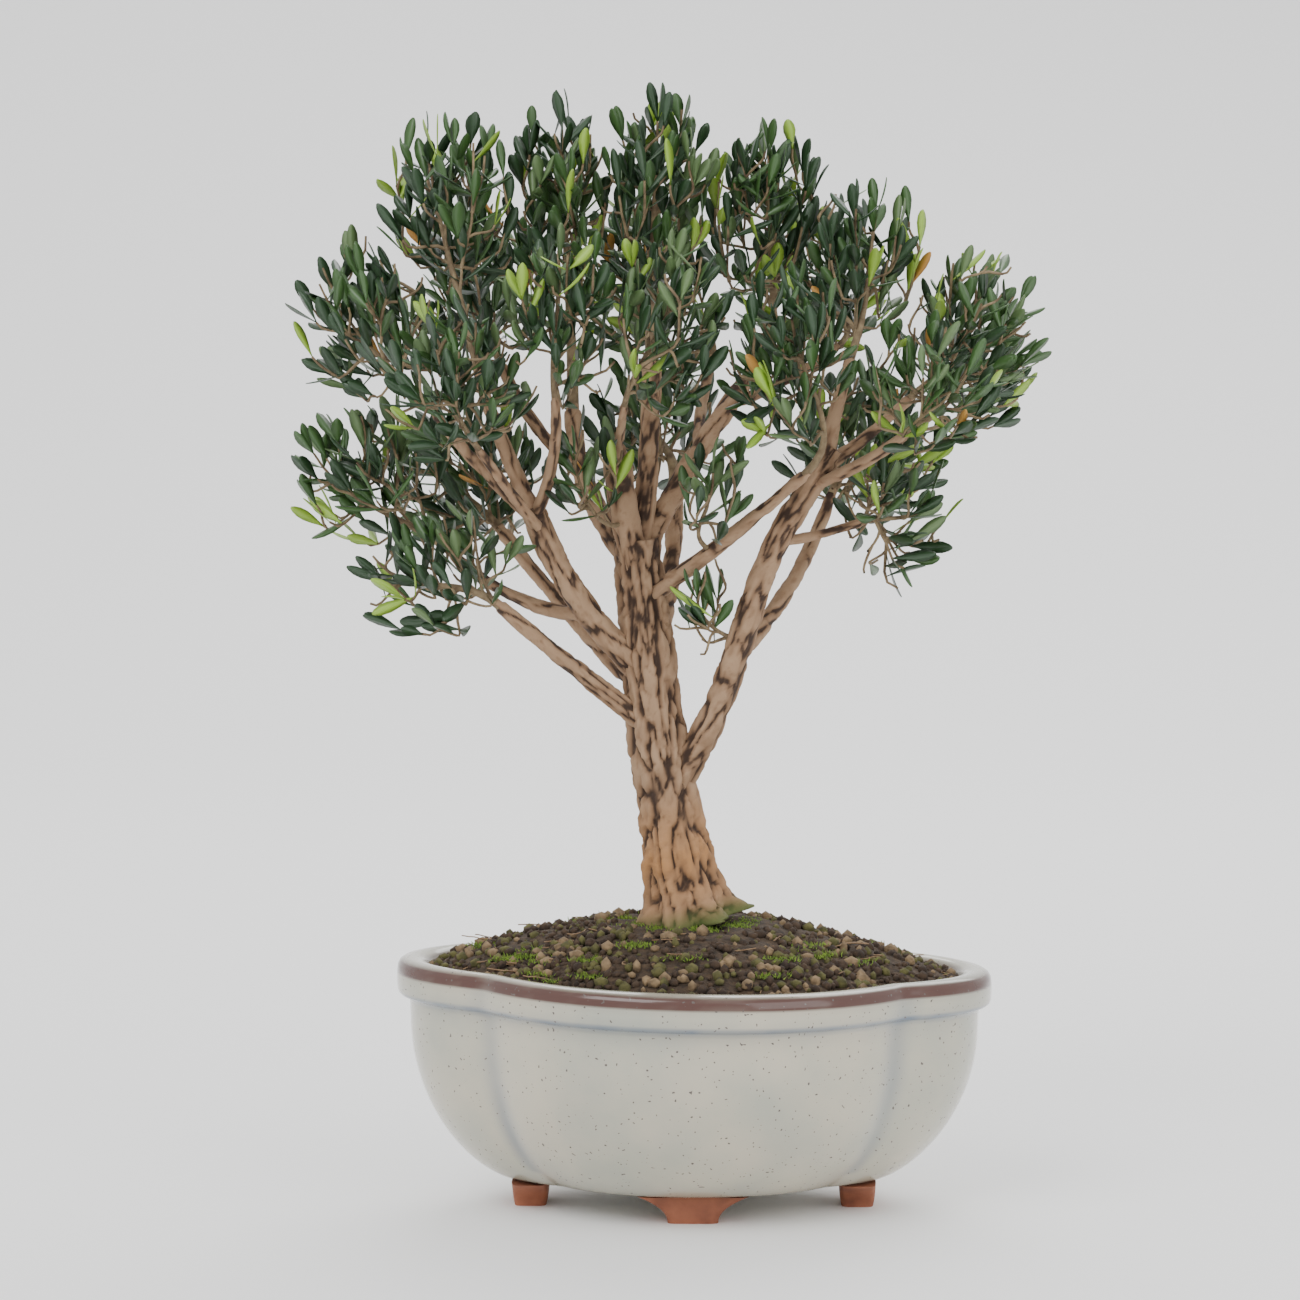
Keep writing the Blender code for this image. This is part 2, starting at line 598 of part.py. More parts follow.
class Growth:
    """One mass of foliage grown by rule: a stem, twigs to scattered tips, and leaves in crossed pairs."""

    def __init__(self, name, wood, rng):
        self.name = name
        self.mass = MASSES[name]
        self.space = Space(name)
        self.wood = wood
        self.rng = rng
        self.twigs = []
        self.leaves = []
        self.blades = []
        self.marks = np.zeros((0, 3))
        self.stem()

    def stem(self):
        """The stem from its limb, 0.3 mm clear, to just under the mass's furthest leaf."""
        limb, at = self.mass.limb, self.mass.at
        lead = Vector(self.mass.lead)
        centre = Vector(self.mass.centre)
        direction = limb_direction(limb, at)
        foot = limb_point(limb, at)
        radius = limb_radius(limb, at) * STEM_TAPER
        if at < 1.0:
            outward = centre - foot
            direction = (outward - direction * outward.dot(direction)).normalized()
            foot = foot + direction * (limb_radius(limb, at) + GAP)
            radius = TWIG_RADIUS * 1.3
        else:
            foot = foot + direction * GAP
        self.foot_faces = direction
        arrive = ((lead - centre).normalized() + Vector((0, 0, UPWARD_PULL))).normalized()
        end = lead - arrive * LEAF_LENGTH * 0.92
        path = bend(foot, direction, end, arrive, STEM_STEPS)
        self.twigs.append((path, radius, TWIG_RADIUS))
        if self.wood.clearance(path[1:]) < LIMB_CLEARANCE:
            print(self.name, "stem touches a limb")
        self.wood.add(self.name, path, np.linspace(radius, TWIG_RADIUS, len(path))[:-1])

    def tips(self):
        """Places for twig ends, scattered through the outer part of the space."""
        stem_end = self.twigs[0][0][-1]
        chosen = [stem_end]
        for _ in range(TIP_TRIES):
            offset = np.array([self.rng.gauss(0, 1) for _ in range(3)])
            offset *= self.rng.uniform(*TIP_SHELL) / np.linalg.norm(offset)
            place = Vector(self.space.centre + offset * self.space.reach)
            if not self.space.holds([place]) or self.wood.clearance([place], self.name) < 3.0:
                continue
            if min((place - other).length for other in chosen) > TIP_SPACING:
                chosen.append(place)
        foot = self.twigs[0][0][0]
        return sorted(chosen[1:], key=lambda place: (place - foot).length)

    def join(self, tip):
        """The best place on the twigs so far to grow towards a tip, or nothing."""
        best = None
        for path, thick, thin in self.twigs:
            for index in range(1, len(path)):
                here = path[index - 1].lerp(path[index], 0.5)
                forward = (path[index] - path[index - 1]).normalized()
                reach = tip - here
                turn = math.degrees(reach.angle(forward))
                if turn > WIDEST_FORK or reach.length < LEAF_LENGTH * 0.4:
                    continue
                cost = reach.length * (1 + turn / 60)
                if best is None or cost < best[0]:
                    best = (cost, here, forward)
        return best

    def twig(self, tip):
        """Grow a twig to a tip where it keeps to the space and clear of the limbs."""
        found = self.join(tip)
        if found is None:
            return
        _, here, forward = found
        outward = (tip - self.twigs[0][0][0]).normalized()
        arrive = (outward + Vector((0, 0, UPWARD_PULL))).normalized()
        path = bend(here, (forward + (tip - here).normalized() * 1.4).normalized(), tip, arrive, TWIG_STEPS)
        tests = [a.lerp(b, share) for a, b in zip(path, path[1:]) for share in (0.0, 0.25, 0.5, 0.75, 1.0)]
        if self.space.holds(tests[1:], rounded=False) and self.wood.clearance(tests, self.name) > LIMB_CLEARANCE:
            self.twigs.append((path, TWIG_RADIUS, TWIG_TIP_RADIUS))

    def add_leaf(self, root, along, across, length):
        """Keep a leaf that stays in the space, off the limbs and apart from the other leaves."""
        along = along.normalized()
        across = (across - along * across.dot(along)).normalized()
        width = LEAF_WIDTH * self.rng.uniform(0.9, 1.1)
        corners = leaf_corners(root - along * LEAF_SINK, along, across, length + LEAF_SINK, width)
        samples = leaf_samples(corners)
        if not self.space.holds(corners) or self.wood.clearance(samples, self.name) < LIMB_CLEARANCE:
            return
        blade = np.array(samples[1:])
        for taken in self.blades + [self.marks]:
            if np.linalg.norm(blade[:, None] - taken[None], axis=2).min() < LEAF_APART:
                return
        self.blades.append(np.array(samples))
        self.leaves.append(corners)

    def leaf_twig(self, path):
        """A leaf at a twig's tip and crossed pairs below it."""
        forward = (path[-1] - path[-2]).normalized()
        side = forward.orthogonal().normalized()
        side = (side * math.cos(2.4 * len(self.leaves)) + forward.cross(side) * math.sin(2.4 * len(self.leaves)))
        size = self.rng.uniform(0.85, 1.05) * LEAF_LENGTH
        self.add_leaf(path[-1] - forward * 0.5, forward, side, size)
        opening = math.radians(LEAF_OPENING)
        for pair in range(LEAF_PAIRS):
            root = path[-1] - forward * PAIR_GAP * (pair + 0.4)
            side = forward.cross(side)
            for hand in (-1, 1):
                along = forward * math.cos(opening) + side * hand * math.sin(opening)
                self.add_leaf(root, along, forward.cross(along), size * self.rng.uniform(0.8, 1.0))

    def grow(self):
        """Grow the mass and join it into one solid."""
        for tip in self.tips():
            self.twig(tip)
        runs = [(a, b) for path, _, _ in self.twigs for a, b in zip(path, path[1:])]
        self.marks = np.array([a.lerp(b, share / 5) for a, b in runs for share in range(5)])
        for path, _, _ in self.twigs:
            self.leaf_twig(path)
        return self.join_solid()

    def join_solid(self):
        """Unite the stem with the twigs and leaves, and keep the one body that results."""
        path, thick, thin = self.twigs[0]
        radii = np.linspace(thick, thin, len(path))
        body = loft(self.name, tube_rings(path, radii, 3, foot_faces=self.foot_faces))
        parts = bpy.data.collections.new(f"{self.name}_parts")
        bpy.context.scene.collection.children.link(parts)
        for path, thick, thin in self.twigs[1:]:
            radii = np.linspace(thick, thin, len(path))
            twig = loft("twig", tube_rings(path, radii, 3))
            bpy.context.scene.collection.objects.unlink(twig)
            parts.objects.link(twig)
        for corners in self.leaves:
            parts.objects.link(make_leaf(corners))
        step = body.modifiers.new("join", "BOOLEAN")
        step.operation = "UNION"
        step.operand_type = "COLLECTION"
        step.collection = parts
        step.solver = "EXACT"
        joined = bpy.data.meshes.new_from_object(body.evaluated_get(bpy.context.evaluated_depsgraph_get()))
        body.modifiers.clear()
        body.data = joined
        for part in list(parts.objects):
            bpy.data.objects.remove(part)
        bpy.data.collections.remove(parts)
        keep_largest(joined)
        return dress(body, "foliage")


def keep_largest(mesh):
    """Drop every shell but the largest, so that no scrap or sealed hollow is left."""
    bm = bmesh.new()
    bm.from_mesh(mesh)
    waiting = set(bm.verts)
    shells = []
    while waiting:
        shell = [waiting.pop()]
        for vert in shell:
            for edge in vert.link_edges:
                other = edge.other_vert(vert)
                if other in waiting:
                    waiting.remove(other)
                    shell.append(other)
        shells.append(shell)
    shells.sort(key=len)
    for shell in shells[:-1]:
        bmesh.ops.delete(bm, geom=shell, context="VERTS")
    bmesh.ops.dissolve_limit(bm, angle_limit=math.radians(FLAT_DEGREES), verts=bm.verts, edges=bm.edges)
    bmesh.ops.triangulate(bm, faces=bm.faces)
    bm.to_mesh(mesh)
    bm.free()


def centre_plant():
    """Hang everything on an empty that puts the middle of the whole box over the origin."""
    bpy.context.view_layer.update()
    graph = bpy.context.evaluated_depsgraph_get()
    low = Vector((math.inf,) * 3)
    high = Vector((-math.inf,) * 3)
    things = [thing for thing in bpy.context.scene.objects if thing.type == "MESH"]
    for thing in things:
        if thing.hide_render:
            continue
        mesh = thing.evaluated_get(graph).to_mesh()
        for vert in mesh.vertices:
            low = Vector(map(min, low, vert.co))
            high = Vector(map(max, high, vert.co))
        thing.evaluated_get(graph).to_mesh_clear()
    centre = bpy.data.objects.new("plant_centre", None)
    bpy.context.scene.collection.objects.link(centre)
    centre.location = (-(low.x + high.x) / 2, -(low.y + high.y) / 2, -low.z)
    for thing in things:
        thing.parent = centre


def main():
    """Build the plant from the ground up."""
    for thing in list(bpy.data.objects):
        bpy.data.objects.remove(thing)
    make_pot()
    make_feet()
    make_soil(random.Random(SEED))
    make_wood()
    wood = Wood()
    growths = [Growth(name, wood, random.Random(SEED + number)) for number, name in enumerate(MASSES)]
    for growth in growths:
        growth.grow()
    centre_plant()


main()
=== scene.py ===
"""Looks of a potted Chinese boxwood bonsai: glazed pot, mossy soil, fissured bark and small leaves.

Sizes are millimetres about the middle of the pot with the ground at zero; MM and the pot's own
place in the frame turn them into the frame's metres.
"""

import json
import logging
import math
import random
from dataclasses import dataclass, field
from enum import Enum

import bmesh
import bpy
import numpy as np
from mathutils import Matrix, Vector, noise

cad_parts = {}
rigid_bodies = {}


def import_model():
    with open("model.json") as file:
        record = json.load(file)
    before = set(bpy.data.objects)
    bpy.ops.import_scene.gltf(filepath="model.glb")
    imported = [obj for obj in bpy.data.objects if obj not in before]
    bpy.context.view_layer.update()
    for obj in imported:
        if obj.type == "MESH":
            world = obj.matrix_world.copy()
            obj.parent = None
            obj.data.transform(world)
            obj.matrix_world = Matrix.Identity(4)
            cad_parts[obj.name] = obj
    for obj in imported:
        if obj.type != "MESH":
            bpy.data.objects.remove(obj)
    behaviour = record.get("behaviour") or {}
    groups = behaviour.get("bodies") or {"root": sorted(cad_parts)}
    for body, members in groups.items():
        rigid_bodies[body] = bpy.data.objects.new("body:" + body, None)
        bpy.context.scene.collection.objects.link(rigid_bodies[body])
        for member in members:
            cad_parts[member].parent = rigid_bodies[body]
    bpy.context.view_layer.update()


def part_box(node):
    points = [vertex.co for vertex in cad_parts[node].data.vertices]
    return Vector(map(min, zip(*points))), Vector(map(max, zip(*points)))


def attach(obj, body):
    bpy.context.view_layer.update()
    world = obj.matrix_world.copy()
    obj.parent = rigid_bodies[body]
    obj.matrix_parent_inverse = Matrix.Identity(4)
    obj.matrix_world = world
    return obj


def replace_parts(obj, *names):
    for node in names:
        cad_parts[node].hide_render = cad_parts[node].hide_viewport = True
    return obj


MM = 0.001
PHOTO_SIDE = 1300
SEED = 41
log = logging.getLogger("boxwood")

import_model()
pot_low, pot_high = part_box("pot_bowl")
POT_MIDDLE = Vector(((pot_low[0] + pot_high[0]) / 2, (pot_low[1] + pot_high[1]) / 2, 0.0))


class Kind(Enum):
    """The sprays of leaf that the crown is made of, by age."""

    DARK = "dark"
    GREEN = "green"
    PALE = "pale"
    YOUNG = "young"
    SPENT = "spent"


@dataclass(frozen=True)
class Limb:
    """A tapering bough that leaves its parent at a fraction of the parent's length."""

    parent: str
    at: float
    tip: tuple
    foot_radius: float
    tip_radius: float
    bow: tuple = (0.0, 0.0, 0.0)
    wave: tuple = (0.0, 0.0, 0.0)


@dataclass(frozen=True)
class Mass:
    """A mass of foliage in its own rounded space, with the place of its furthest leaf."""

    limb: str
    centre: tuple
    reach: tuple
    lead: tuple
    at: float = 1.0


LIMBS = {
    "right_bough": Limb("trunk", 0.32, (49.5, -14, 271), 5.6, 4.4, (-2, -4, 0), (3.2, 0, 0)),
    "left_low_bough": Limb("trunk", 0.50, (-70, -17, 217), 4.4, 2.2, (0, 0, -1)),
    "left_big_bough": Limb("trunk", 0.64, (-57, -18, 251), 5.2, 4.4, (-4.5, 0, -3)),
    "small_right_bough": Limb("trunk", 0.84, (40, -33, 264), 3.5, 1.9, (0, 0, -1.5)),
    "cut_stub": Limb("trunk", 0.90, (-27.5, -8, 270), 5.6, 5.0, (-1.5, 0, 0)),
    "centre_leader": Limb("trunk", 0.97, (-15.5, 13, 303), 4.4, 3.2, (1.5, -1, 0)),
    "right_leader": Limb("trunk", 0.95, (19, 31, 295), 4.8, 3.2, (-2.5, -2, -1)),
    "left_back_bough": Limb("trunk", 0.93, (-45, 52, 284), 5.0, 3.0, (-6, 1, -3)),
    "second_left_bough": Limb("left_big_bough", 0.42, (-88, 14, 233), 2.8, 2.0, (0, 3, -6)),
    "left_upper_bough": Limb("left_big_bough", 0.97, (-76, -23, 301), 3.0, 2.1, (-2, 0, 1)),
    "left_side_bough": Limb("left_big_bough", 0.93, (-91, -24, 284), 2.6, 1.7, (-1, 0, -1)),
    "left_front_bough": Limb("left_big_bough", 0.88, (-74, -48, 272), 2.2, 1.6, (0, -3, 0)),
    "inner_left_bough": Limb("left_big_bough", 0.95, (-48, -42, 290), 2.2, 1.6, (3, -3, 0)),
    "stub_twig": Limb("cut_stub", 0.93, (-24, -38, 287), 1.7, 1.4, (0, -2, 0)),
    "right_upper_bough": Limb("right_bough", 0.97, (55, -16, 303), 2.8, 2.0, (-1, 0, 0)),
    "right_outer_bough": Limb("right_bough", 0.95, (77, 5, 289), 2.6, 1.8, (0, 2, -2)),
    "right_front_bough": Limb("right_bough", 0.90, (74, -38, 277), 2.3, 1.7, (0, 0, -2)),
    "right_low_bough": Limb("right_bough", 0.74, (60, -6, 245), 1.9, 1.4, (0, 2, -1)),
    "back_bough": Limb("trunk", 0.70, (-8, 62, 258), 4.4, 2.8, (3, 3, -6)),
    "back_left_bough": Limb("trunk", 0.58, (-72, 46, 240), 4.0, 2.4, (2, 4, -5)),
    "back_right_bough": Limb("right_bough", 0.42, (50, 44, 254), 3.4, 2.2, (2, 3, -5)),
    "upper_back_left_bough": Limb("left_back_bough", 0.62, (-72, 56, 300), 2.6, 1.9, (-2, 4, -3)),
    "upper_back_bough": Limb("right_leader", 0.62, (6, 62, 302), 2.4, 1.8, (-2, 5, -2)),
    "upper_back_right_bough": Limb("right_leader", 0.86, (52, 46, 306), 2.2, 1.7, (0, 2, -2)),
}

MASSES = {
    "foliage_far_left": Mass("second_left_bough", (-117, 12, 261), (32, 28, 33), (-144, 12, 281)),
    "foliage_left_low": Mass("left_low_bough", (-88, -22, 227), (36, 26, 29), (-121, -26, 246)),
    "foliage_left_middle": Mass("left_side_bough", (-113, -6, 316), (32, 34, 38), (-133, -8, 340)),
    "foliage_left_top": Mass("left_upper_bough", (-86, 0, 352), (29, 33, 42), (-97, -2, 392)),
    "foliage_top_left": Mass("left_back_bough", (-47, 12, 360), (24, 34, 39), (-47, 4, 398)),
    "foliage_top_centre": Mass("centre_leader", (-14, 4, 362), (26, 33, 40), (-13, 2, 401)),
    "foliage_top_right": Mass("right_leader", (23, 10, 354), (27, 34, 37), (27, 6, 389)),
    "foliage_right_top": Mass("right_upper_bough", (58, -2, 336), (28, 33, 35), (66, -2, 368)),
    "foliage_right_middle": Mass("right_outer_bough", (98, 0, 311), (30, 34, 37), (121, 0, 335)),
    "foliage_right_low": Mass("right_low_bough", (69, -6, 247), (26, 28, 33), (90, -8, 266)),
    "foliage_front_left": Mass("left_front_bough", (-80, -58, 294), (34, 30, 36), (-90, -70, 321)),
    "foliage_front_inner_left": Mass("inner_left_bough", (-44, -62, 316), (26, 30, 38), (-46, -64, 352)),
    "foliage_front_centre": Mass("stub_twig", (-8, -60, 314), (25, 30, 38), (-6, -62, 350)),
    "foliage_front_right": Mass("small_right_bough", (32, -56, 302), (27, 30, 38), (34, -62, 338)),
    "foliage_front_far_right": Mass("right_front_bough", (80, -50, 292), (31, 28, 32), (100, -60, 311)),
    "foliage_fork_left": Mass("cut_stub", (-38, -24, 262), (18, 20, 25), (-44, -34, 282), 0.45),
    "foliage_fork_right": Mass("small_right_bough", (8, -30, 256), (18, 20, 25), (6, -38, 278), 0.42),
    "foliage_inner_right": Mass("right_bough", (5, -8, 214), (17, 17, 24), (-2, -14, 232), 0.46),
    "foliage_back_left": Mass("back_left_bough", (-84, 54, 258), (36, 33, 36), (-106, 64, 282)),
    "foliage_back_upper_left": Mass("upper_back_left_bough", (-78, 58, 324), (33, 33, 37), (-88, 66, 354)),
    "foliage_back_upper": Mass("upper_back_bough", (-20, 70, 332), (32, 34, 37), (-22, 78, 362)),
    "foliage_back_upper_right": Mass("upper_back_right_bough", (42, 60, 326), (32, 33, 35), (54, 70, 354)),
    "foliage_back_low": Mass("back_bough", (-16, 80, 276), (34, 31, 32), (-18, 100, 296)),
    "foliage_back_right": Mass("back_right_bough", (62, 60, 270), (36, 33, 36), (82, 74, 292)),
    "foliage_back_far_right": Mass("right_outer_bough", (104, 40, 296), (22, 22, 26), (114, 50, 312), 0.8),
}


def placed(point: Vector) -> Vector:
    """A place about the pot's middle in millimetres, as a place in the frame."""
    return Vector(point) * MM + POT_MIDDLE


def clamp(value: float) -> float:
    """The value, held between 0 and 1."""
    return min(1.0, max(0.0, value))


def linked(name: str, data: bpy.types.ID) -> bpy.types.Object:
    """Put a new object with the given data in the scene."""
    thing = bpy.data.objects.new(name, data)
    bpy.context.scene.collection.objects.link(thing)
    return thing


def piece(name: str, mesh: bpy.types.Mesh, material: bpy.types.Material) -> bpy.types.Object:
    """Turn a mesh into a smooth piece that rides on the root body and fills a material slot."""
    mesh.shade_smooth()
    mesh.materials.append(material)
    thing = linked(name, mesh)
    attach(thing, "root")
    log.info("%s of %d faces", name, len(mesh.polygons))
    return thing


def carved(name: str, bm: bmesh.types.BMesh, material: bpy.types.Material) -> bpy.types.Object:
    """Make a piece from a bmesh, with its faces turned outward, and free the bmesh."""
    mesh = bpy.data.meshes.new(name)
    bmesh.ops.recalc_face_normals(bm, faces=bm.faces)
    bm.to_mesh(mesh)
    bm.free()
    return piece(name, mesh, material)


def joined(
    name: str, verts: np.ndarray, faces: np.ndarray, material: bpy.types.Material
) -> bpy.types.Object:
    """Make one joined piece from arrays of corners in millimetres and of faces."""
    mesh = bpy.data.meshes.new(name)
    mesh.from_pydata((verts * MM + np.array(POT_MIDDLE)).tolist(), [], faces.tolist())
    mesh.update()
    return piece(name, mesh, material)


def paint(thing: bpy.types.Object, titles: tuple, marks: list) -> None:
    """Keep each corner's marks on a piece as attributes with the given titles."""
    for number, title in enumerate(titles):
        layer = thing.data.attributes.new(title, "FLOAT", "POINT")
        layer.data.foreach_set("value", [mark[number] for mark in marks])


def loft(bm: bmesh.types.BMesh, rings: list) -> None:
    """Extrude the first ring's face through the others in millimetres, with both ends closed."""
    first = [bm.verts.new(placed(point)) for point in rings[0]]
    foot = face = bm.faces.new(first)
    order = first
    for ring in rings[1:]:
        match = {tuple(vert.co): index for index, vert in enumerate(order)}
        made = bmesh.ops.extrude_face_region(bm, geom=[face])["geom"]
        if face is not foot:
            bmesh.ops.delete(bm, geom=[face], context="FACES_ONLY")
        face = next(item for item in made if isinstance(item, bmesh.types.BMFace))
        order = sorted(face.verts, key=lambda vert: match[tuple(vert.co)])
        for vert, point in zip(order, ring):
            vert.co = placed(point)


def tube_rings(path: list, radii: list, sides: int) -> list:
    """Rings square to a path, carried along it without twist."""
    rings = []
    side = None
    for index, point in enumerate(path):
        forward = (path[min(index + 1, len(path) - 1)] - path[max(index - 1, 0)]).normalized()
        if side is None:
            side = forward.orthogonal().normalized()
        side = (side - forward * side.dot(forward)).normalized()
        across = forward.cross(side)
        turns = [2 * math.pi * corner / sides for corner in range(sides)]
        rings.append([point + (side * math.cos(a) + across * math.sin(a)) * radii[index] for a in turns])
    return rings


class Nodes:
    """A short way to put a Principled material's nodes together."""

    def __init__(self, name: str) -> None:
        """Start a material with its shader."""
        self.material = bpy.data.materials.new(name)
        self.material.use_nodes = True
        self.tree = self.material.node_tree
        self.shader = self.tree.nodes["Principled BSDF"]
        self.place = self.tree.nodes.new("ShaderNodeTexCoord").outputs["Object"]

    def link(self, source: bpy.types.NodeSocket, target: bpy.types.NodeSocket) -> None:
        """Join two sockets."""
        self.tree.links.new(source, target)

    def noise(self, scale: float, detail: float = 4.0, stretch: tuple = (1, 1, 1)) -> bpy.types.NodeSocket:
        """Noise on Object coordinates, scale in waves a metre."""
        mapping = self.tree.nodes.new("ShaderNodeMapping")
        mapping.inputs["Scale"].default_value = stretch
        self.link(self.place, mapping.inputs["Vector"])
        made = self.tree.nodes.new("ShaderNodeTexNoise")
        made.inputs["Scale"].default_value = scale
        made.inputs["Detail"].default_value = detail
        self.link(mapping.outputs["Vector"], made.inputs["Vector"])
        return made.outputs["Fac"]

    def ramp(self, source: bpy.types.NodeSocket, stops: list) -> bpy.types.NodeSocket:
        """Turn a number into colours at given places."""
        made = self.tree.nodes.new("ShaderNodeValToRGB")
        band = made.color_ramp
        while len(band.elements) < len(stops):
            band.elements.new(0.5)
        for element, (position, colour) in zip(band.elements, stops):
            element.position = position
            element.color = (*colour, 1.0)
        self.link(source, made.inputs["Fac"])
        return made.outputs["Color"]

    def mix(self, share: bpy.types.NodeSocket, first: object, second: object) -> bpy.types.NodeSocket:
        """Mix two colours, each a socket or a plain colour, by a share."""
        made = self.tree.nodes.new("ShaderNodeMix")
        made.data_type = "RGBA"
        self.link(share, made.inputs[0])
        for value, target in ((first, made.inputs[6]), (second, made.inputs[7])):
            if isinstance(value, tuple):
                target.default_value = (*value, 1.0)
            else:
                self.link(value, target)
        return made.outputs[2]

    def bump(self, height: bpy.types.NodeSocket, strength: float, distance: float) -> None:
        """Give the shader a bump from a height."""
        made = self.tree.nodes.new("ShaderNodeBump")
        made.inputs["Strength"].default_value = strength
        made.inputs["Distance"].default_value = distance
        self.link(height, made.inputs["Height"])
        self.link(made.outputs["Normal"], self.shader.inputs["Normal"])

    def attribute(self, name: str) -> bpy.types.NodeSocket:
        """A number kept on the mesh."""
        made = self.tree.nodes.new("ShaderNodeAttribute")
        made.attribute_name = name
        return made.outputs["Fac"]


@dataclass(frozen=True)
class GlazeFinish:
    """Pale celadon glaze that pools blue in hollows and breaks brown on the rim; the same blue is laid as
    painted shade in creases.
    """

    body: tuple = (0.39, 0.39, 0.32)
    thin: tuple = (0.50, 0.46, 0.36)
    # Dark blue of glaze gathered in hollows, also laid as painted shade under the lip, in the notch grooves
    # and inside the rim.
    pooled_and_shaded: tuple = (0.11, 0.15, 0.21)
    brown: tuple = (0.075, 0.028, 0.020)
    roughness: float = 0.16

    def material(self) -> bpy.types.Material:
        """Build the glaze, whose bands follow attributes kept on the bowl."""
        nodes = Nodes("pot_glaze")
        cloud = nodes.ramp(nodes.noise(28.0, 5.0), [(0.35, self.body), (0.65, self.thin)])
        # Painted shade: the blue mark darkens the crease under the lip, the notch grooves and the inside of
        # the rim, along with the glaze's pools.
        blue = nodes.mix(nodes.attribute("pooling_and_shade"), cloud, self.pooled_and_shaded)
        edge = nodes.mix(nodes.attribute("breaking"), blue, self.brown)
        speck_stops = [(0.0, (0, 0, 0)), (0.775, (0, 0, 0)), (0.80, (1, 1, 1))]
        speck = nodes.ramp(nodes.noise(900.0, 0.0), speck_stops)
        nodes.link(nodes.mix(speck, edge, (0.10, 0.08, 0.07)), nodes.shader.inputs["Base Color"])
        nodes.shader.inputs["Roughness"].default_value = self.roughness
        nodes.shader.inputs["Coat Weight"].default_value = 0.35
        nodes.shader.inputs["Coat Roughness"].default_value = 0.08
        nodes.bump(nodes.noise(160.0, 3.0), 0.12, 0.0006)
        return nodes.material


@dataclass(frozen=True)
class GrainFinish:
    """A rough finish of two tones with a grain: clay, soil, moss or twig bark."""

    name: str
    dark: tuple
    light: tuple
    scale: float
    roughness: float = 0.9
    relief: float = 0.5

    def material(self) -> bpy.types.Material:
        """Build the finish on Object coordinates."""
        nodes = Nodes(self.name)
        tone = nodes.ramp(nodes.noise(self.scale, 6.0), [(0.32, self.dark), (0.68, self.light)])
        nodes.link(tone, nodes.shader.inputs["Base Color"])
        nodes.shader.inputs["Roughness"].default_value = self.roughness
        nodes.bump(nodes.noise(self.scale * 3.0, 4.0), self.relief, 0.0005)
        return nodes.material


@dataclass(frozen=True)
class BarkFinish:
    """Corky tan bark: pale ridges, dark fissures with painted shade in them, warm where it has peeled near
    the foot.
    """

    # Near black: the fissures' own dark tone deepened by painted shade.
    fissure: tuple = (0.035, 0.017, 0.009)
    ridge: tuple = (0.23, 0.135, 0.075)
    bleached: tuple = (0.42, 0.28, 0.17)
    peeled: tuple = (0.44, 0.20, 0.06)
    moss: tuple = (0.07, 0.10, 0.02)

    def material(self) -> bpy.types.Material:
        """Build the bark from the relief and the warmth kept on its mesh."""
        nodes = Nodes("bark")
        relief = nodes.attribute("relief")
        # The fissure colour in the hollows is partly the bark's own darker tone and partly painted shade.
        tone = nodes.ramp(relief, [(0.15, self.fissure), (0.45, self.ridge), (0.9, self.bleached)])
        patches = nodes.mix(nodes.noise(130.0, 5.0), tone, self.ridge)
        warm = nodes.mix(nodes.attribute("warmth"), patches, self.peeled)
        # Painted shade: the deepest hollows of the relief are darkened again to the fissure colour.
        dark = nodes.mix(nodes.ramp(relief, [(0.05, (1, 1, 1)), (0.38, (0, 0, 0))]), warm, self.fissure)
        nodes.link(nodes.mix(nodes.attribute("mossy"), dark, self.moss), nodes.shader.inputs["Base Color"])
        nodes.shader.inputs["Roughness"].default_value = 0.85
        nodes.bump(nodes.noise(1400.0, 6.0), 0.55, 0.0004)
        return nodes.material


@dataclass(frozen=True)
class LeafFinish:
    """One age of leaf as a plain colour with a waxy gloss."""

    kind: Kind
    colour: tuple
    roughness: float = 0.34

    def material(self) -> bpy.types.Material:
        """Build the leaf's finish."""
        nodes = Nodes(f"leaf_{self.kind.value}")
        nodes.shader.inputs["Base Color"].default_value = (*self.colour, 1.0)
        nodes.shader.inputs["Roughness"].default_value = self.roughness
        nodes.shader.inputs["Specular IOR Level"].default_value = 0.55
        return nodes.material


LEAF_FINISHES = [
    LeafFinish(Kind.DARK, (0.022, 0.055, 0.020)),
    LeafFinish(Kind.GREEN, (0.045, 0.105, 0.026)),
    LeafFinish(Kind.PALE, (0.10, 0.165, 0.060), 0.45),
    LeafFinish(Kind.YOUNG, (0.26, 0.42, 0.045), 0.42),
    LeafFinish(Kind.SPENT, (0.48, 0.24, 0.05), 0.6),
]


# The lip's section upward from its lower edge: height, inset from the rim, blue where the glaze pools and
# painted shade in the crease under the lip, brown breaking.
LIP_SECTION = (
    (-2.5, 4.8, 0.10, 0.00),
    (-1.0, 4.5, 0.50, 0.00),
    (-0.4, 3.2, 0.95, 0.00),
    (0.1, 1.6, 1.00, 0.00),
    (0.9, 0.7, 0.80, 0.00),
    (2.0, 0.3, 0.15, 0.00),
    (5.0, 0.1, 0.05, 0.00),
    (7.2, 0.1, 0.00, 0.10),
    (8.2, 0.15, 0.00, 0.90),
    (10.2, 0.4, 0.00, 1.00),
    (11.6, 1.2, 0.00, 0.90),
    (12.4, 2.5, 0.00, 0.35),
    (12.8, 4.5, 0.00, 0.05),
    (12.8, 7.0, 0.00, 0.00),
    (12.2, 9.4, 0.00, 0.10),
    (11.0, 10.8, 0.00, 0.55),
    (9.0, 11.5, 0.10, 0.20),
    (3.0, 11.8, 0.30, 0.00),
)


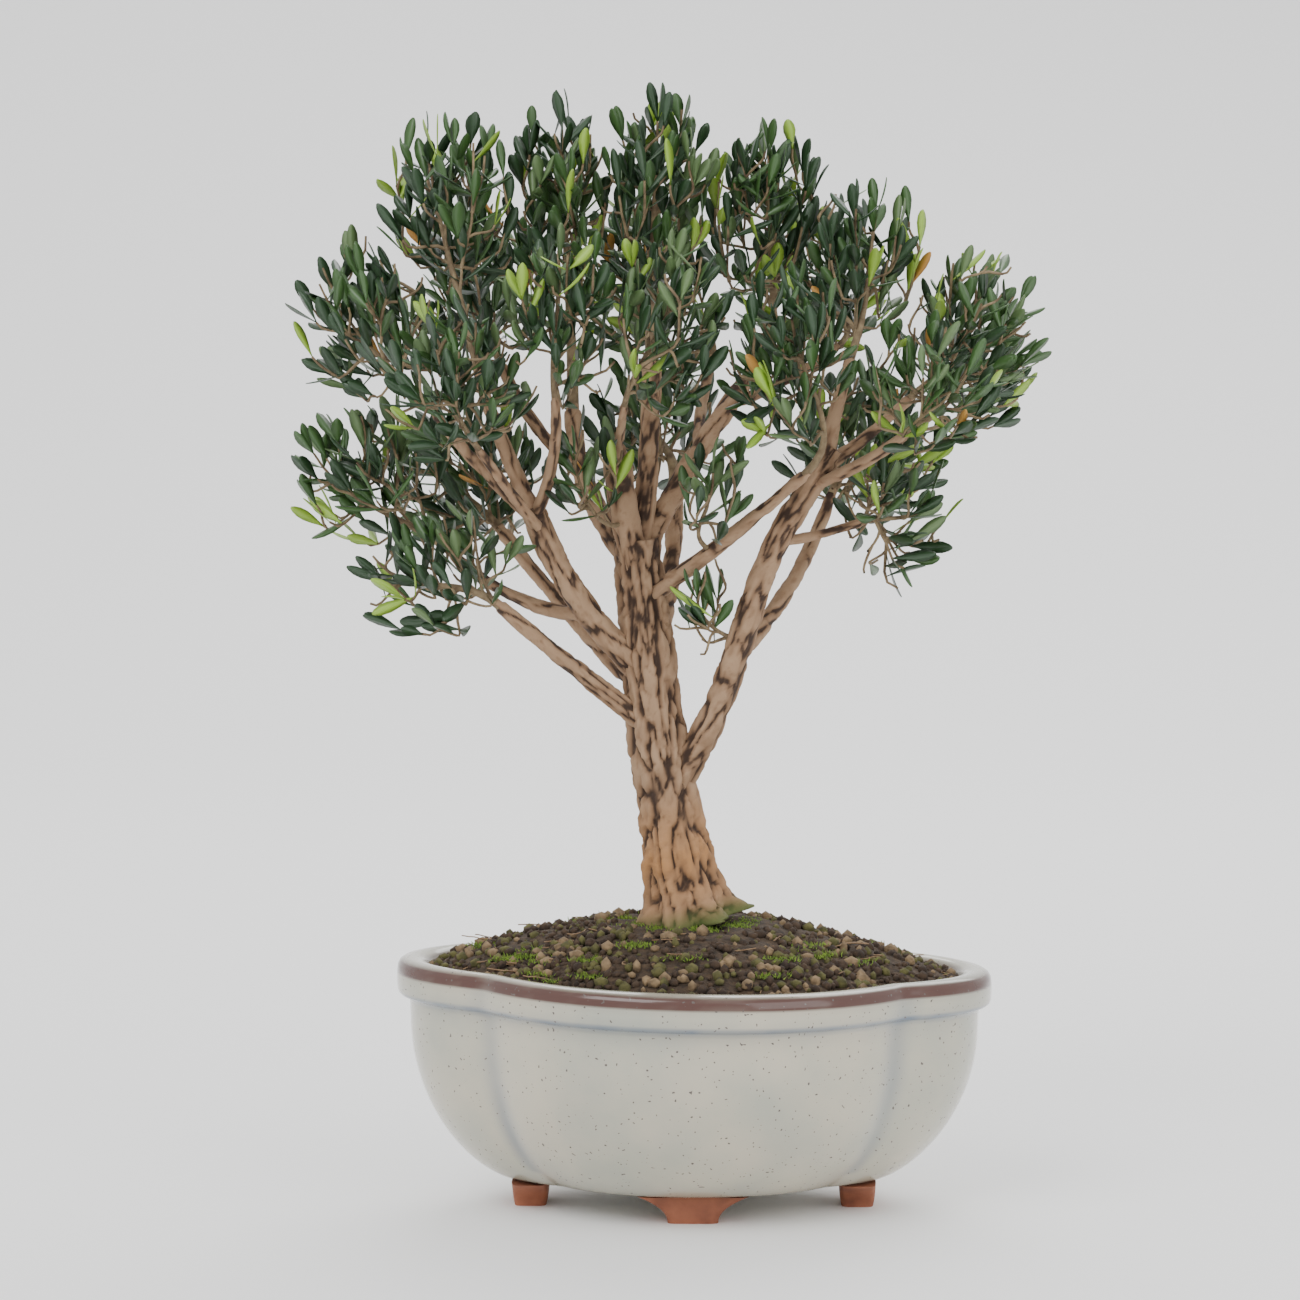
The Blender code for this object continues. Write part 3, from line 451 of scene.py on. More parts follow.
@dataclass
class Pot:
    """The glazed quatrefoil bowl, whose rim dips a little to the right as fired."""

    half_length: float = 107.5
    half_depth: float = 83.0
    notch_x: float = 73.5
    notch_y: float = 44.0
    shoulder: float = 2.3
    roundness: float = 0.85
    smoothing: int = 14
    rim_height: float = 86.9
    fall: float = 0.021
    fall_starts: float = 20.0
    body_foot: float = 9.7
    body_top: float = 66.0
    body_rows: int = 24
    body_spread: float = 1.7
    foot_inset: float = 41.0
    top_inset: float = 5.0
    lip_drop: float = 12.8
    rim_width: float = 11.5
    wall: float = 6.5
    neck_drop: float = 8.0
    neck_inset: float = 12.2
    floor: float = 16.0
    floor_inset: float = 47.0
    floor_curve: float = 18.0
    long_steps: int = 56
    short_steps: int = 36
    groove_from: float = 0.93
    streak_waves: float = 55.0
    streak_stretch: float = 0.35
    run_waves: float = 120.0

    def lobe(self, half_span: float, notch: float, crown: float, steps: int) -> list:
        """Points over one lobe as distance along and distance out, with nearness to a notch."""
        points = []
        for step in range(steps):
            u = -math.cos(math.pi * step / steps)
            bulge = (1 - abs(u) ** self.shoulder) ** self.roundness
            points.append((half_span * u, notch + (crown - notch) * bulge, abs(u)))
        return points

    def outline(self) -> np.ndarray:
        """The rim in plan from the front left notch, each row x, y and nearness to a notch."""
        long_lobe = self.lobe(self.notch_x, self.notch_y, self.half_depth, self.long_steps)
        short_lobe = self.lobe(self.notch_y, self.notch_x, self.half_length, self.short_steps)
        rows = [(a, -o, n) for a, o, n in long_lobe] + [(o, a, n) for a, o, n in short_lobe]
        rows += [(-a, o, n) for a, o, n in long_lobe] + [(-o, -a, n) for a, o, n in short_lobe]
        points = np.array(rows)
        for _ in range(self.smoothing):
            beside = np.roll(points, 1, 0) + np.roll(points, -1, 0)
            points[:, :2] = 0.5 * points[:, :2] + 0.25 * beside[:, :2]
        return points

    def body_inset(self, z: float) -> float:
        """How far the wall stands in from the rim at a height."""
        depth = clamp((self.body_top - z) / (self.body_top - self.body_foot))
        return self.top_inset + (self.foot_inset - self.top_inset) * (1 - (1 - depth ** 2) ** (2 / 3))

    def place(self, x: float, y: float, z: float, inset: float) -> Vector:
        """A point of the outline drawn in by an inset and let down to the right."""
        wide = x * (self.half_length - inset) / self.half_length
        deep = y * (self.half_depth - inset) / self.half_depth
        drop = self.fall * wide * max(0.0, z - self.fall_starts) / (self.rim_height - self.fall_starts)
        return Vector((wide, deep, z - drop))

    def profile(self) -> list:
        """Height, inset, blue glaze pools with painted shade, and brown breaking up the bowl's outside and
        down its inside.
        """
        rows = [(self.body_foot, self.foot_inset, 0.0, 0.0)]
        for step in range(1, self.body_rows + 1):
            share = (step / self.body_rows) ** self.body_spread
            z = self.body_foot + (self.body_top - self.body_foot) * share
            rows.append((z, self.body_inset(z), 0.0, 0.0))
        lip = self.rim_height - self.lip_drop
        rows += [(lip + height, inset, blue, brown) for height, inset, blue, brown in LIP_SECTION]
        # A little blue inside under the rim, as painted shade with the glaze's pools.
        rows.append((self.body_top - self.neck_drop, self.neck_inset, 0.2, 0.0))
        low = self.floor + self.floor_curve
        rows.append((low, self.body_inset(low) + self.wall, 0.0, 0.0))
        rows.append((self.floor, self.floor_inset, 0.0, 0.0))
        return rows

    def mark(self, row: tuple, notch: float, place: Vector) -> tuple:
        """How blue the glaze pools, with painted shade in its creases, and how brown it breaks.

        Args:
            row: A row of the profile.
            notch: Nearness to a notch, 1 at the notch.
            place: The place in the frame, which gives the glaze its streaks.

        Returns:
            Blue pools with painted shade, and brown breaking, each from 0 to 1.
        """
        z, _, blue, brown = row
        # Painted shade: the notch grooves darken to the glaze's blue, along with its pools there.
        groove = max(0.0, (notch - self.groove_from) / (1 - self.groove_from)) ** 2
        streak = noise.noise(Vector((place.x, place.y, place.z * self.streak_stretch)) * self.streak_waves)
        run = noise.noise(Vector((place.x, place.y, 0)) * self.run_waves)
        on_wall = self.body_foot + 6 < z < self.rim_height - 4
        amount = blue * (0.85 + 0.3 * run) + on_wall * groove * (0.42 + 0.4 * streak) + 0.10 * max(0, streak)
        return clamp(amount), clamp(brown * (1.15 + 0.25 * run))

    def build(self) -> None:
        """Make the bowl and lay the glaze's marks, painted shade among them, on it."""
        outline = self.outline()
        rows = self.profile()
        bm = bmesh.new()
        loft(bm, [[self.place(x, y, z, inset) for x, y, _ in outline] for z, inset, _, _ in rows])
        bowl = carved("bowl_glazed", bm, GlazeFinish().material())
        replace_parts(bowl, "pot_bowl")
        marks = []
        for index, vert in enumerate(bowl.data.vertices):
            row, column = divmod(index, len(outline))
            marks.append(self.mark(rows[row], outline[column][2], vert.co))
        paint(bowl, ("pooling_and_shade", "breaking"), marks)


@dataclass
class Feet:
    """Four rounded clay feet that widen upward."""

    height: float = 9.4
    sole_half: float = 9.0
    widening: float = 11.0
    widening_curve: float = 2.2
    half_thickness: float = 6.5
    sole_thinning: float = 0.12
    squareness: float = 0.35
    rows: int = 12
    corners: int = 32
    crease_degrees: float = 50.0
    side_x: float = 58.5
    front_y: float = 34.5

    def ring(self, x: float, y: float, share: float) -> list:
        """A foot's outline at a share of its height, lengthwise where it stands on the pot's middle."""
        half = self.sole_half + self.widening * share ** self.widening_curve
        thick = self.half_thickness * (1 - self.sole_thinning * (1 - share) ** 3)
        ring = []
        for corner in range(self.corners):
            turn = 2 * math.pi * corner / self.corners
            along = half * math.copysign(abs(math.cos(turn)) ** self.squareness, math.cos(turn))
            across = thick * math.copysign(abs(math.sin(turn)) ** self.squareness, math.sin(turn))
            spot = (x + along, y + across) if x == 0 else (x - across, y + along)
            ring.append(Vector((*spot, self.height * share)))
        return ring

    def build(self) -> None:
        """Make the feet at the front, back, left and right."""
        finish = GrainFinish("foot_clay", (0.17, 0.055, 0.030), (0.36, 0.125, 0.062), 90.0, 0.75, 0.4)
        clay = finish.material()
        spots = {"front": (0, -self.front_y), "back": (0, self.front_y)}
        spots |= {"left": (-self.side_x, 0), "right": (self.side_x, 0)}
        for name, (x, y) in spots.items():
            bm = bmesh.new()
            loft(bm, [self.ring(x, y, row / self.rows) for row in range(self.rows + 1)])
            foot = carved(f"foot_{name}", bm, clay)
            foot.data.set_sharp_from_angle(angle=math.radians(self.crease_degrees))
            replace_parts(foot, f"pot_foot_{name}")


@dataclass(frozen=True)
class Granules:
    """One sort of soil granule: its share of them all, its least and greatest radius, and two tones."""

    name: str
    share: float
    radii: tuple
    dark: tuple
    light: tuple

    def material(self) -> bpy.types.Material:
        """Build the granules' rough finish."""
        return GrainFinish(self.name, self.dark, self.light, 330.0, 0.92, 0.7).material()


GRANULES = (
    Granules("granules_dark", 0.66, (0.5, 2.2), (0.02, 0.012, 0.008), (0.07, 0.042, 0.024)),
    Granules("granules_tan", 0.10, (0.8, 3.0), (0.10, 0.066, 0.035), (0.27, 0.185, 0.10)),
    Granules("granules_olive", 0.24, (0.6, 2.5), (0.045, 0.042, 0.013), (0.12, 0.11, 0.035)),
)


@dataclass
class Soil:
    """The mound of granules, moss and roots that fills the bowl."""

    pot: Pot
    top: float = 100.0
    edge: float = 83.0
    edge_gap: float = 0.5
    hem_depth: float = 8.0
    hem_inset: float = 0.98
    plateau: float = 25.0
    plateau_rings: tuple = (0.6, 0.25)
    rows: int = 30
    fullness: float = 1.7
    fullness_fall: float = 0.35
    lumps: tuple = ((1.3, 0.16), (0.6, 0.5))
    furthest: float = 0.985
    foot: Vector = field(default_factory=lambda: Vector((-1.0, 8.0, 0.0)))
    granules: int = 2600
    coarse: float = 1.8
    coarse_clearance: float = 24.0
    patches: int = 34
    collar_radius: float = 20.0
    collar_bearings: tuple = (3.5, 4.2, 4.9, 5.6, 0.2, 2)
    tufts: int = 260
    blades: int = 22
    patch_spread: float = 3.2
    blade_lean: float = 0.6
    blade_width: float = 0.28
    blade_lengths: tuple = (0.9, 2.0)
    roots: int = 70
    root_steps: int = 6
    root_radius: float = 0.22
    root_lengths: tuple = (5, 15)
    rng: random.Random = field(default_factory=lambda: random.Random(SEED + 100))

    def __post_init__(self) -> None:
        """Take the mound's edge from the bowl's inside."""
        inset = self.pot.rim_width + self.edge_gap
        self.wall = [self.pot.place(x, y, self.edge, inset) for x, y, _ in self.pot.outline()]

    def surface(self, edge: Vector, share: float) -> Vector:
        """A point of the mound between the wall and the flat under the trunk."""
        bearing = math.atan2(edge.y - self.foot.y, edge.x - self.foot.x)
        flat = Vector((self.foot.x, self.foot.y, self.top))
        flat += Vector((math.cos(bearing), math.sin(bearing), 0)) * self.plateau
        point = edge.lerp(flat, share)
        fullness = self.fullness - self.fullness_fall * edge.x / self.pot.half_length
        point.z = edge.z + (self.top - edge.z) * (1 - (1 - share) ** fullness)
        return point

    def spot(self) -> Vector:
        """A seeded place on the mound, clear of the trunk."""
        edge = self.wall[self.rng.randrange(len(self.wall))]
        return self.surface(edge, 1 - math.sqrt(self.rng.uniform(0.0, self.furthest)))

    def build(self) -> None:
        """Make the ground, then its granules, moss and roots as joined meshes."""
        hem = [Vector((p.x * self.hem_inset, p.y * self.hem_inset, p.z - self.hem_depth)) for p in self.wall]
        rings = [hem, self.wall]
        for row in range(1, self.rows + 1):
            ring = [self.surface(point, row / self.rows) for point in self.wall]
            for point in ring:
                point.z += sum(height * noise.noise(point * waves) for height, waves in self.lumps)
            rings.append(ring)
        for share in self.plateau_rings:
            rings.append([Vector((*self.foot.lerp(point, share).xy, point.z)) for point in rings[-1]])
        bm = bmesh.new()
        loft(bm, rings)
        dirt = GrainFinish("soil", (0.018, 0.011, 0.007), (0.075, 0.047, 0.026), 420.0, 0.95, 0.9)
        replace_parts(carved("soil_ground", bm, dirt.material()), "soil")
        for sort in GRANULES:
            self.scatter(sort)
        self.moss()
        self.loose_roots()

    def scatter(self, sort: Granules) -> None:
        """Strew one sort of knobbly granule, a little over half sunk in the ground."""
        bm = bmesh.new()
        bmesh.ops.create_icosphere(bm, subdivisions=1, radius=1.0)
        shape = np.array([vert.co[:] for vert in bm.verts])
        faces = np.array([[vert.index for vert in face.verts] for face in bm.faces])
        bm.free()
        verts, polygons = [], []
        for index in range(int(self.granules * sort.share)):
            size = self.rng.uniform(*sort.radii)
            stretch = np.array([self.rng.uniform(0.65, 1.2) for _ in range(3)]) * size
            knobs = np.array([[self.rng.uniform(0.82, 1.16)] for _ in range(len(shape))])
            turn = self.rng.uniform(0, math.pi)
            cos, sin = math.cos(turn), math.sin(turn)
            spin = np.array([[cos, -sin, 0], [sin, cos, 0], [0, 0, 1]])
            spot = self.spot()
            if size > self.coarse and (spot - self.foot).xy.length < self.coarse_clearance:
                spot = self.spot()
            verts.append((shape * knobs * stretch) @ spin.T + np.array(spot) + [0, 0, size * 0.25])
            polygons.append(faces + len(shape) * index)
        joined(sort.name, np.concatenate(verts), np.concatenate(polygons), sort.material())

    def moss(self) -> None:
        """Grow tufts of short green blades in patches and round the trunk's foot."""
        centres = [self.spot() for _ in range(self.patches)]
        for bearing in self.collar_bearings:
            out = Vector((math.cos(bearing), math.sin(bearing), 0)) * self.collar_radius
            centres.append(self.foot + out + Vector((0, 0, self.top)))
        rng = self.rng
        verts, faces = [], []
        for _ in range(self.tufts):
            heart = rng.choice(centres)
            for _ in range(self.blades):
                spread = (rng.gauss(0, self.patch_spread), rng.gauss(0, self.patch_spread))
                root = heart + Vector((*spread, rng.uniform(-0.6, 0.5)))
                tilt = (rng.gauss(0, self.blade_lean), rng.gauss(0, self.blade_lean))
                lean = Vector((*tilt, 1.0)).normalized()
                side = lean.orthogonal().normalized() * self.blade_width
                tip = root + lean * rng.uniform(*self.blade_lengths)
                a = len(verts)
                verts += [(root - side)[:], (root + side)[:], (root + lean.cross(side))[:], tip[:]]
                faces += [(a, a + 1, a + 3), (a + 1, a + 2, a + 3), (a + 2, a, a + 3)]
        finish = GrainFinish("moss", (0.05, 0.095, 0.008), (0.22, 0.34, 0.03), 500.0, 0.85, 0.2)
        joined("moss_tufts", np.array(verts), np.array(faces), finish.material())

    def loose_roots(self) -> None:
        """Lay fine roots that wander over the granules."""
        rng = self.rng
        bm = bmesh.new()
        for _ in range(self.roots):
            place = self.spot() + Vector((0, 0, 0.8))
            bearing = rng.uniform(0, 2 * math.pi)
            length = rng.uniform(*self.root_lengths)
            path = []
            for _ in range(self.root_steps):
                bearing += rng.uniform(-0.35, 0.35)
                path.append(place)
                run = Vector((math.cos(bearing), math.sin(bearing), rng.uniform(-0.12, 0.2)))
                place = place + run * length / (self.root_steps - 1)
            loft(bm, tube_rings(path, [self.root_radius] * self.root_steps, 5))
        straw = GrainFinish("roots", (0.16, 0.09, 0.045), (0.34, 0.22, 0.12), 200.0, 0.8, 0.2)
        carved("loose_roots", bm, straw.material())


@dataclass(frozen=True)
class Relief:
    """Bark plates as noise, in waves a millimetre round and along a limb."""

    across: float = 0.24
    length: float = 0.06
    limb_step: float = 37.0
    swirl_waves: float = 1.7
    swirl: float = 0.35
    furrow_narrowness: float = 3.4
    furrow_depth: float = 0.95
    crack_waves: tuple = (1.9, 0.30)
    split_waves: tuple = (1.3, 0.15)
    split_narrowness: float = 7.0
    shallow: float = 0.35

    def level(self, limb: int, around: Vector, along: float, radius: float) -> float:
        """Bark height from 0 in a fissure to 1 on a plate.

        Args:
            limb: The limb's number, which shifts its pattern.
            around: A unit vector for the way round the limb.
            along: Millimetres up the limb.
            radius: The limb's radius there.

        Returns:
            The height.
        """
        offset = self.limb_step * limb
        turn = around * radius * self.across
        cell = Vector((turn.x, turn.y, along * self.length + offset))
        swirl = noise.noise(cell * self.swirl_waves) * self.swirl
        furrow = 1 - abs(noise.noise(cell + Vector((swirl, swirl, 0)))) * self.furrow_narrowness
        wide, high = self.crack_waves
        cracks = noise.noise(Vector((turn.x * wide, turn.y * wide, along * high + offset)))
        wide, high = self.split_waves
        split = noise.noise(Vector((turn.x * wide, turn.y * wide, along * high + offset)))
        depth = max(0.0, furrow) * self.furrow_depth
        depth += max(0.0, 1 - abs(split) * self.split_narrowness) * self.shallow
        return clamp(self.furrow_depth - depth + self.shallow * cracks)


@dataclass
class Wood:
    """The trunk and its boughs, with deep-fissured bark."""

    foot: Vector = field(default_factory=lambda: Vector((-1.0, 8.0, 100.3)))
    tip: Vector = field(default_factory=lambda: Vector((-20.5, 5.0, 238.0)))
    bow: float = 1.8
    waist_radius: float = 9.0
    butt_radius: float = 13.5
    flare: float = 6.5
    flare_height: float = 9.0
    ridges: int = 7
    ridge_depth: float = 0.16
    ridge_height: float = 16.0
    ridge_least: float = 0.025
    ridge_twist: float = 2.2
    clearance_steps: int = 12
    trunk_row: float = 1.0
    limb_row: float = 0.95
    trunk_sides: int = 84
    limb_sides: tuple = (16, 40)
    deepest: float = 2.3
    stub_end: tuple = ((1.4, 0.92), (2.4, 0.7), (2.9, 0.3))
    relief: Relief = Relief()

    def __post_init__(self) -> None:
        """Lay out every limb as short straight pieces for asking about clearances."""
        self.owners: list = []
        self.starts: list = []
        self.ends: list = []
        self.radii: list = []
        steps = self.clearance_steps
        for name in ["trunk", *LIMBS]:
            points = [self.point(name, step / steps) for step in range(steps + 1)]
            self.add(name, points, [self.radius(name, step / steps) for step in range(steps)])

    def add(self, owner: str, points: list, radii: list) -> None:
        """Add a run of straight pieces that belong to an owner."""
        for start, end, radius in zip(points, points[1:], radii):
            self.owners.append(owner)
            self.starts.append(tuple(start))
            self.ends.append(tuple(end))
            self.radii.append(radius)
        self.table = None

    def clearance(self, points: list, owner: str) -> float:
        """The least distance from any of the points to any bark but the owner's."""
        if self.table is None:
            starts = np.array(self.starts)
            self.table = (np.array(self.owners), starts, np.array(self.ends) - starts, np.array(self.radii))
        owners, starts, runs, radii = self.table
        others = owners != owner
        starts, runs, radii = starts[others], runs[others], radii[others]
        offsets = np.asarray(points)[:, None, :] - starts[None]
        shares = np.clip((offsets * runs[None]).sum(axis=2) / (runs ** 2).sum(axis=1), 0, 1)
        nearest = offsets - shares[..., None] * runs[None]
        return float((np.linalg.norm(nearest, axis=2) - radii).min())

    def point(self, name: str, share: float) -> Vector:
        """A place on the centre line of the trunk or a limb."""
        if name == "trunk":
            point = self.foot.lerp(self.tip, share)
            point.x = self.foot.x + (self.tip.x - self.foot.x) * share ** 0.9
            point.x -= self.bow * math.sin(math.pi * share)
            return point
        limb = LIMBS[name]
        point = self.point(limb.parent, limb.at).lerp(Vector(limb.tip), share)
        point += Vector(limb.bow) * 4 * share * (1 - share)
        return point + Vector(limb.wave) * math.sin(2 * math.pi * share)

    def radius(self, name: str, share: float) -> float:
        """The radius of the trunk or a limb, before bark."""
        if name == "trunk":
            height = (self.tip.z - self.foot.z) * share
            taper = self.waist_radius + (self.butt_radius - self.waist_radius) * (1 - share) ** 1.3
            return taper + self.flare * math.exp(-height / self.flare_height)
        limb = LIMBS[name]
        return limb.foot_radius + (limb.tip_radius - limb.foot_radius) * share ** 0.8

    def direction(self, name: str, share: float) -> Vector:
        """The way the trunk or a limb runs at a fraction of its length."""
        ahead = self.point(name, min(1.0, share + 0.01))
        return (ahead - self.point(name, max(0.0, share - 0.01))).normalized()

    def root_marks(self, angle: float, share: float, height: float, level: float) -> tuple:
        """The trunk's root ridges as a factor on its radius, with the bark's warmth and mossiness."""
        root = self.ridge_depth * math.exp(-height / self.ridge_height) + self.ridge_least
        factor = 1 + root * math.cos(self.ridges * angle + self.ridge_twist * share)
        warmth = 0.75 * max(0.0, 1 - abs(height - 24) / 26) * level
        return factor, warmth, min(0.9, max(0.0, 1.1 - height / 7.0))

    def skin(self, bm: bmesh.types.BMesh, name: str, marks: list) -> None:
        """Add one limb's bark to a bmesh.

        Args:
            bm: The shape that gathers all the bark.
            name: The trunk or a limb.
            marks: Gathers relief, warmth and mossiness for each new corner.
        """
        is_trunk = name == "trunk"
        number = 0 if is_trunk else list(LIMBS).index(name) + 1
        length = (self.point(name, 1.0) - self.point(name, 0.0)).length
        rows = max(12, round(length / (self.trunk_row if is_trunk else self.limb_row)))
        least, most = self.limb_sides
        sides = self.trunk_sides if is_trunk else max(least, min(most, round(self.radius(name, 0.5) * 8)))
        path = [self.point(name, row / rows) for row in range(rows + 1)]
        rings = tube_rings(path, [1.0] * (rows + 1), sides)
        for row, ring in enumerate(rings):
            share = row / rows
            height = length * share
            base = self.radius(name, share)
            swell = 1 + 0.07 * noise.noise(Vector((height * 0.09, len(name) * 3.1, 0)))
            deepest = min(self.deepest, 0.2 * base + 0.15)
            for corner, point in enumerate(ring):
                angle = 2 * math.pi * corner / sides
                around = Vector((math.cos(angle), math.sin(angle), 0))
                level = self.relief.level(number, around, height, base)
                factor, warmth, mossy = 0.75 if share > 0.97 else 1.0, 0.0, 0.0
                if is_trunk:
                    factor, warmth, mossy = self.root_marks(angle, share, height, level)
                radius = (base * swell - deepest * (1 - level) + 0.25) * factor
                ring[corner] = path[row] + (point - path[row]) * radius
                marks.append((level, warmth, mossy))
        if name == "cut_stub":
            lift = self.direction(name, 1.0)
            for rise, shrink in self.stub_end:
                centre = path[-1] + lift * rise
                rings.append([centre + (point - path[-1]) * shrink for point in rings[rows]])
                marks += [(0.35, 0.0, 0.0)] * sides
        loft(bm, rings)

    def build(self) -> None:
        """Make all the bark as one piece that replaces the trunk and boughs."""
        bm = bmesh.new()
        marks: list = []
        for name in ["trunk", *LIMBS]:
            self.skin(bm, name, marks)
        bark = carved("bark", bm, BarkFinish().material())
        paint(bark, ("relief", "warmth", "mossy"), marks)
        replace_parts(bark, "trunk", *LIMBS)


class Space:
    """A mass's own room: its rounded reach, cut by flat borders with the other masses."""

    def __init__(self, name: str) -> None:
        """Work out the borders of the named mass."""
        mass = MASSES[name]
        self.centre = np.array(mass.centre, float)
        self.reach = np.array(mass.reach, float)
        self.weight = float((self.reach ** 2).mean())
        others = [other for key, other in MASSES.items() if key != name]
        self.others = np.array([other.centre for other in others], float)
        self.other_weights = np.array([(np.array(other.reach, float) ** 2).mean() for other in others])

    def holds(self, points: list, rounded: bool = True) -> bool:
        """Whether all the points lie in the space, or within its flat borders only."""
        points = np.asarray(points, float)
        own = ((points - self.centre) ** 2).sum(axis=1) - self.weight
        far = ((points[:, None, :] - self.others[None]) ** 2).sum(axis=2) - self.other_weights
        inside = (far > own[:, None]).all()
        if rounded:
            inside = inside and (((points - self.centre) / self.reach) ** 2).sum(axis=1).max() <= 1.0
        return bool(inside)


def bend(start: Vector, leave: Vector, end: Vector, arrive: Vector, steps: int) -> list:
    """A smooth run of points between two places with the given directions."""
    handle = (end - start).length * 0.4
    near = start + leave * handle
    far = end - arrive * handle
    points = []
    for step in range(steps + 1):
        t = step / steps
        first, middle, last = start.lerp(near, t), near.lerp(far, t), far.lerp(end, t)
        points.append(first.lerp(middle, t).lerp(middle.lerp(last, t), t))
    return points


def along(path: list, distance: float) -> Vector:
    """The place at a distance along a path."""
    for start, end in zip(path, path[1:]):
        run = (end - start).length
        if distance <= run:
            return start.lerp(end, max(0.0, distance / run))
        distance -= run
    return path[-1]


def bands(start: int, rings: int, sides: int) -> list:
    """The faces between rings of corners that are numbered from a start."""
    faces = []
    for row in range(rings - 1):
        near, far = start + row * sides, start + row * sides + sides
        for corner in range(sides):
            turn = (corner + 1) % sides
            faces.append((near + corner, near + turn, far + turn, far + corner))
    return faces


@dataclass(frozen=True)
class Leaf:
    """A leaf's place: root, the way it points, the way its width lies, and its sizes."""

    root: Vector
    forward: Vector
    across: Vector
    length: float
    width: float
    curl: float
    kind: Kind


@dataclass(frozen=True)
class Growth:
    """One round of twigs: how far apart their ends are, tries, radius at the foot, and the shortest."""

    gap: float
    tries: int
    radius: float
    shortest: float


@dataclass
class Foliage:
    """All masses of leaves, each grown on from its limb by one seeded rule."""

    wood: Wood
    rounds: tuple = (Growth(20.0, 200, 0.75, 9.0), Growth(9.2, 700, 0.55, 7.0))
    leaf_length: float = 16.2
    leaf_width: float = 4.2
    opening: float = 46.0
    opening_step: float = 5.0
    tip_opening: float = 14.0
    tip_leaf: float = 0.86
    pair_gap: float = 6.2
    pairs: int = 5
    stem_taper: float = 0.8
    stem_steps: int = 12
    stem_sink: float = 2.0
    side_stem_radius: float = 0.975
    shoot_radius: float = 0.42
    twig_steps: int = 5
    twig_sides: int = 6
    shell: tuple = (0.12, 0.80)
    upward: float = 0.75
    widest_fork: float = 78.0
    fork_cost_angle: float = 60.0
    place_clearance: float = 2.5
    twig_clearance: float = 0.8
    leaf_clearance: float = 0.6
    dark_share: float = 0.50
    green_share: float = 0.83
    sprout_from: float = 0.6
    sprouts: float = 0.16
    spent: float = 0.008
    # Share along the blade and share of its greatest width.
    stations: tuple = (
        (0.0, 0.12), (0.15, 0.30), (0.38, 0.72), (0.60, 1.0), (0.79, 0.92), (0.93, 0.58), (1.0, 0.2)
    )
    leaves: list = field(default_factory=list)
    twigs: list = field(default_factory=list)

    def stem(self, name: str) -> tuple:
        """The stem that carries on from the limb to just under the mass's furthest leaf."""
        mass = MASSES[name]
        lead, centre = Vector(mass.lead), Vector(mass.centre)
        direction = self.wood.direction(mass.limb, mass.at)
        foot = self.wood.point(mass.limb, mass.at)
        radius = self.wood.radius(mass.limb, mass.at) * self.stem_taper
        if mass.at < 1.0:
            outward = centre - foot
            direction = (outward - direction * outward.dot(direction)).normalized()
            radius = self.side_stem_radius
        else:
            foot = foot - direction * self.stem_sink
        arrive = self.upturned((lead - centre).normalized())
        path = bend(foot, direction, lead - arrive * self.leaf_length * 0.92, arrive, self.stem_steps)
        self.wood.add(name, path, list(np.linspace(radius, self.shoot_radius, len(path)))[:-1])
        return path, radius

    def upturned(self, outward: Vector) -> Vector:
        """A direction bent upward, as shoots grow."""
        return (outward + Vector((0, 0, self.upward))).normalized()

    def tips(self, name: str, space: Space, taken: list, growth: Growth, rng: random.Random) -> list:
        """Scatter places for one round's twig ends through a mass's space.

        Args:
            name: The mass.
            space: Its space.
            taken: Ends that are there already.
            growth: The round.
            rng: The mass's own source of chance.

        Returns:
            The new places.
        """
        chosen: list = []
        for _ in range(growth.tries):
            offset = np.array([rng.gauss(0, 1) for _ in range(3)])
            offset *= rng.uniform(*self.shell) / np.linalg.norm(offset)
            place = Vector(space.centre + offset * space.reach)
            if not space.holds([place]) or self.wood.clearance([place], name) < self.place_clearance:
                continue
            if min((place - other).length for other in taken + chosen) > growth.gap:
                chosen.append(place)
        return chosen

    def fork(self, runs: list, tip: Vector, shortest: float) -> tuple | None:
        """The best place on the runs so far to grow a twig to a tip from, and the way the wood runs there."""
        best, least = None, math.inf
        for path, _ in runs:
            for start, end in zip(path, path[1:]):
                here = start.lerp(end, 0.5)
                forward = (end - start).normalized()
                reach = tip - here
                if reach.length < shortest:
                    continue
                turn = math.degrees(reach.angle(forward))
                cost = reach.length * (1 + turn / self.fork_cost_angle)
                if turn < self.widest_fork and cost < least:
                    best, least = (here, forward), cost
        return best

    def grow_twig(self, name: str, space: Space, runs: list, tip: Vector, growth: Growth) -> bool:
        """Grow a twig to a tip unless it would leave the space or touch a limb.

        Args:
            name: The mass.
            space: Its space.
            runs: The stem and twigs so far, each a path and its foot's radius, to which the twig is added.
            tip: Where the twig ends.
            growth: The round.

        Returns:
            Whether the twig was grown.
        """
        found = self.fork(runs, tip, growth.shortest)
        if found is None:
            return False
        here, forward = found
        arrive = self.upturned((tip - runs[0][0][0]).normalized())
        leave = (forward + (tip - here).normalized() * 1.4).normalized()
        path = bend(here, leave, tip, arrive, self.twig_steps)
        fits = space.holds(path[1:], rounded=False)
        fits = fits and self.wood.clearance(path[1:], name) > self.twig_clearance
        if fits:
            runs.append((path, growth.radius))
        return fits

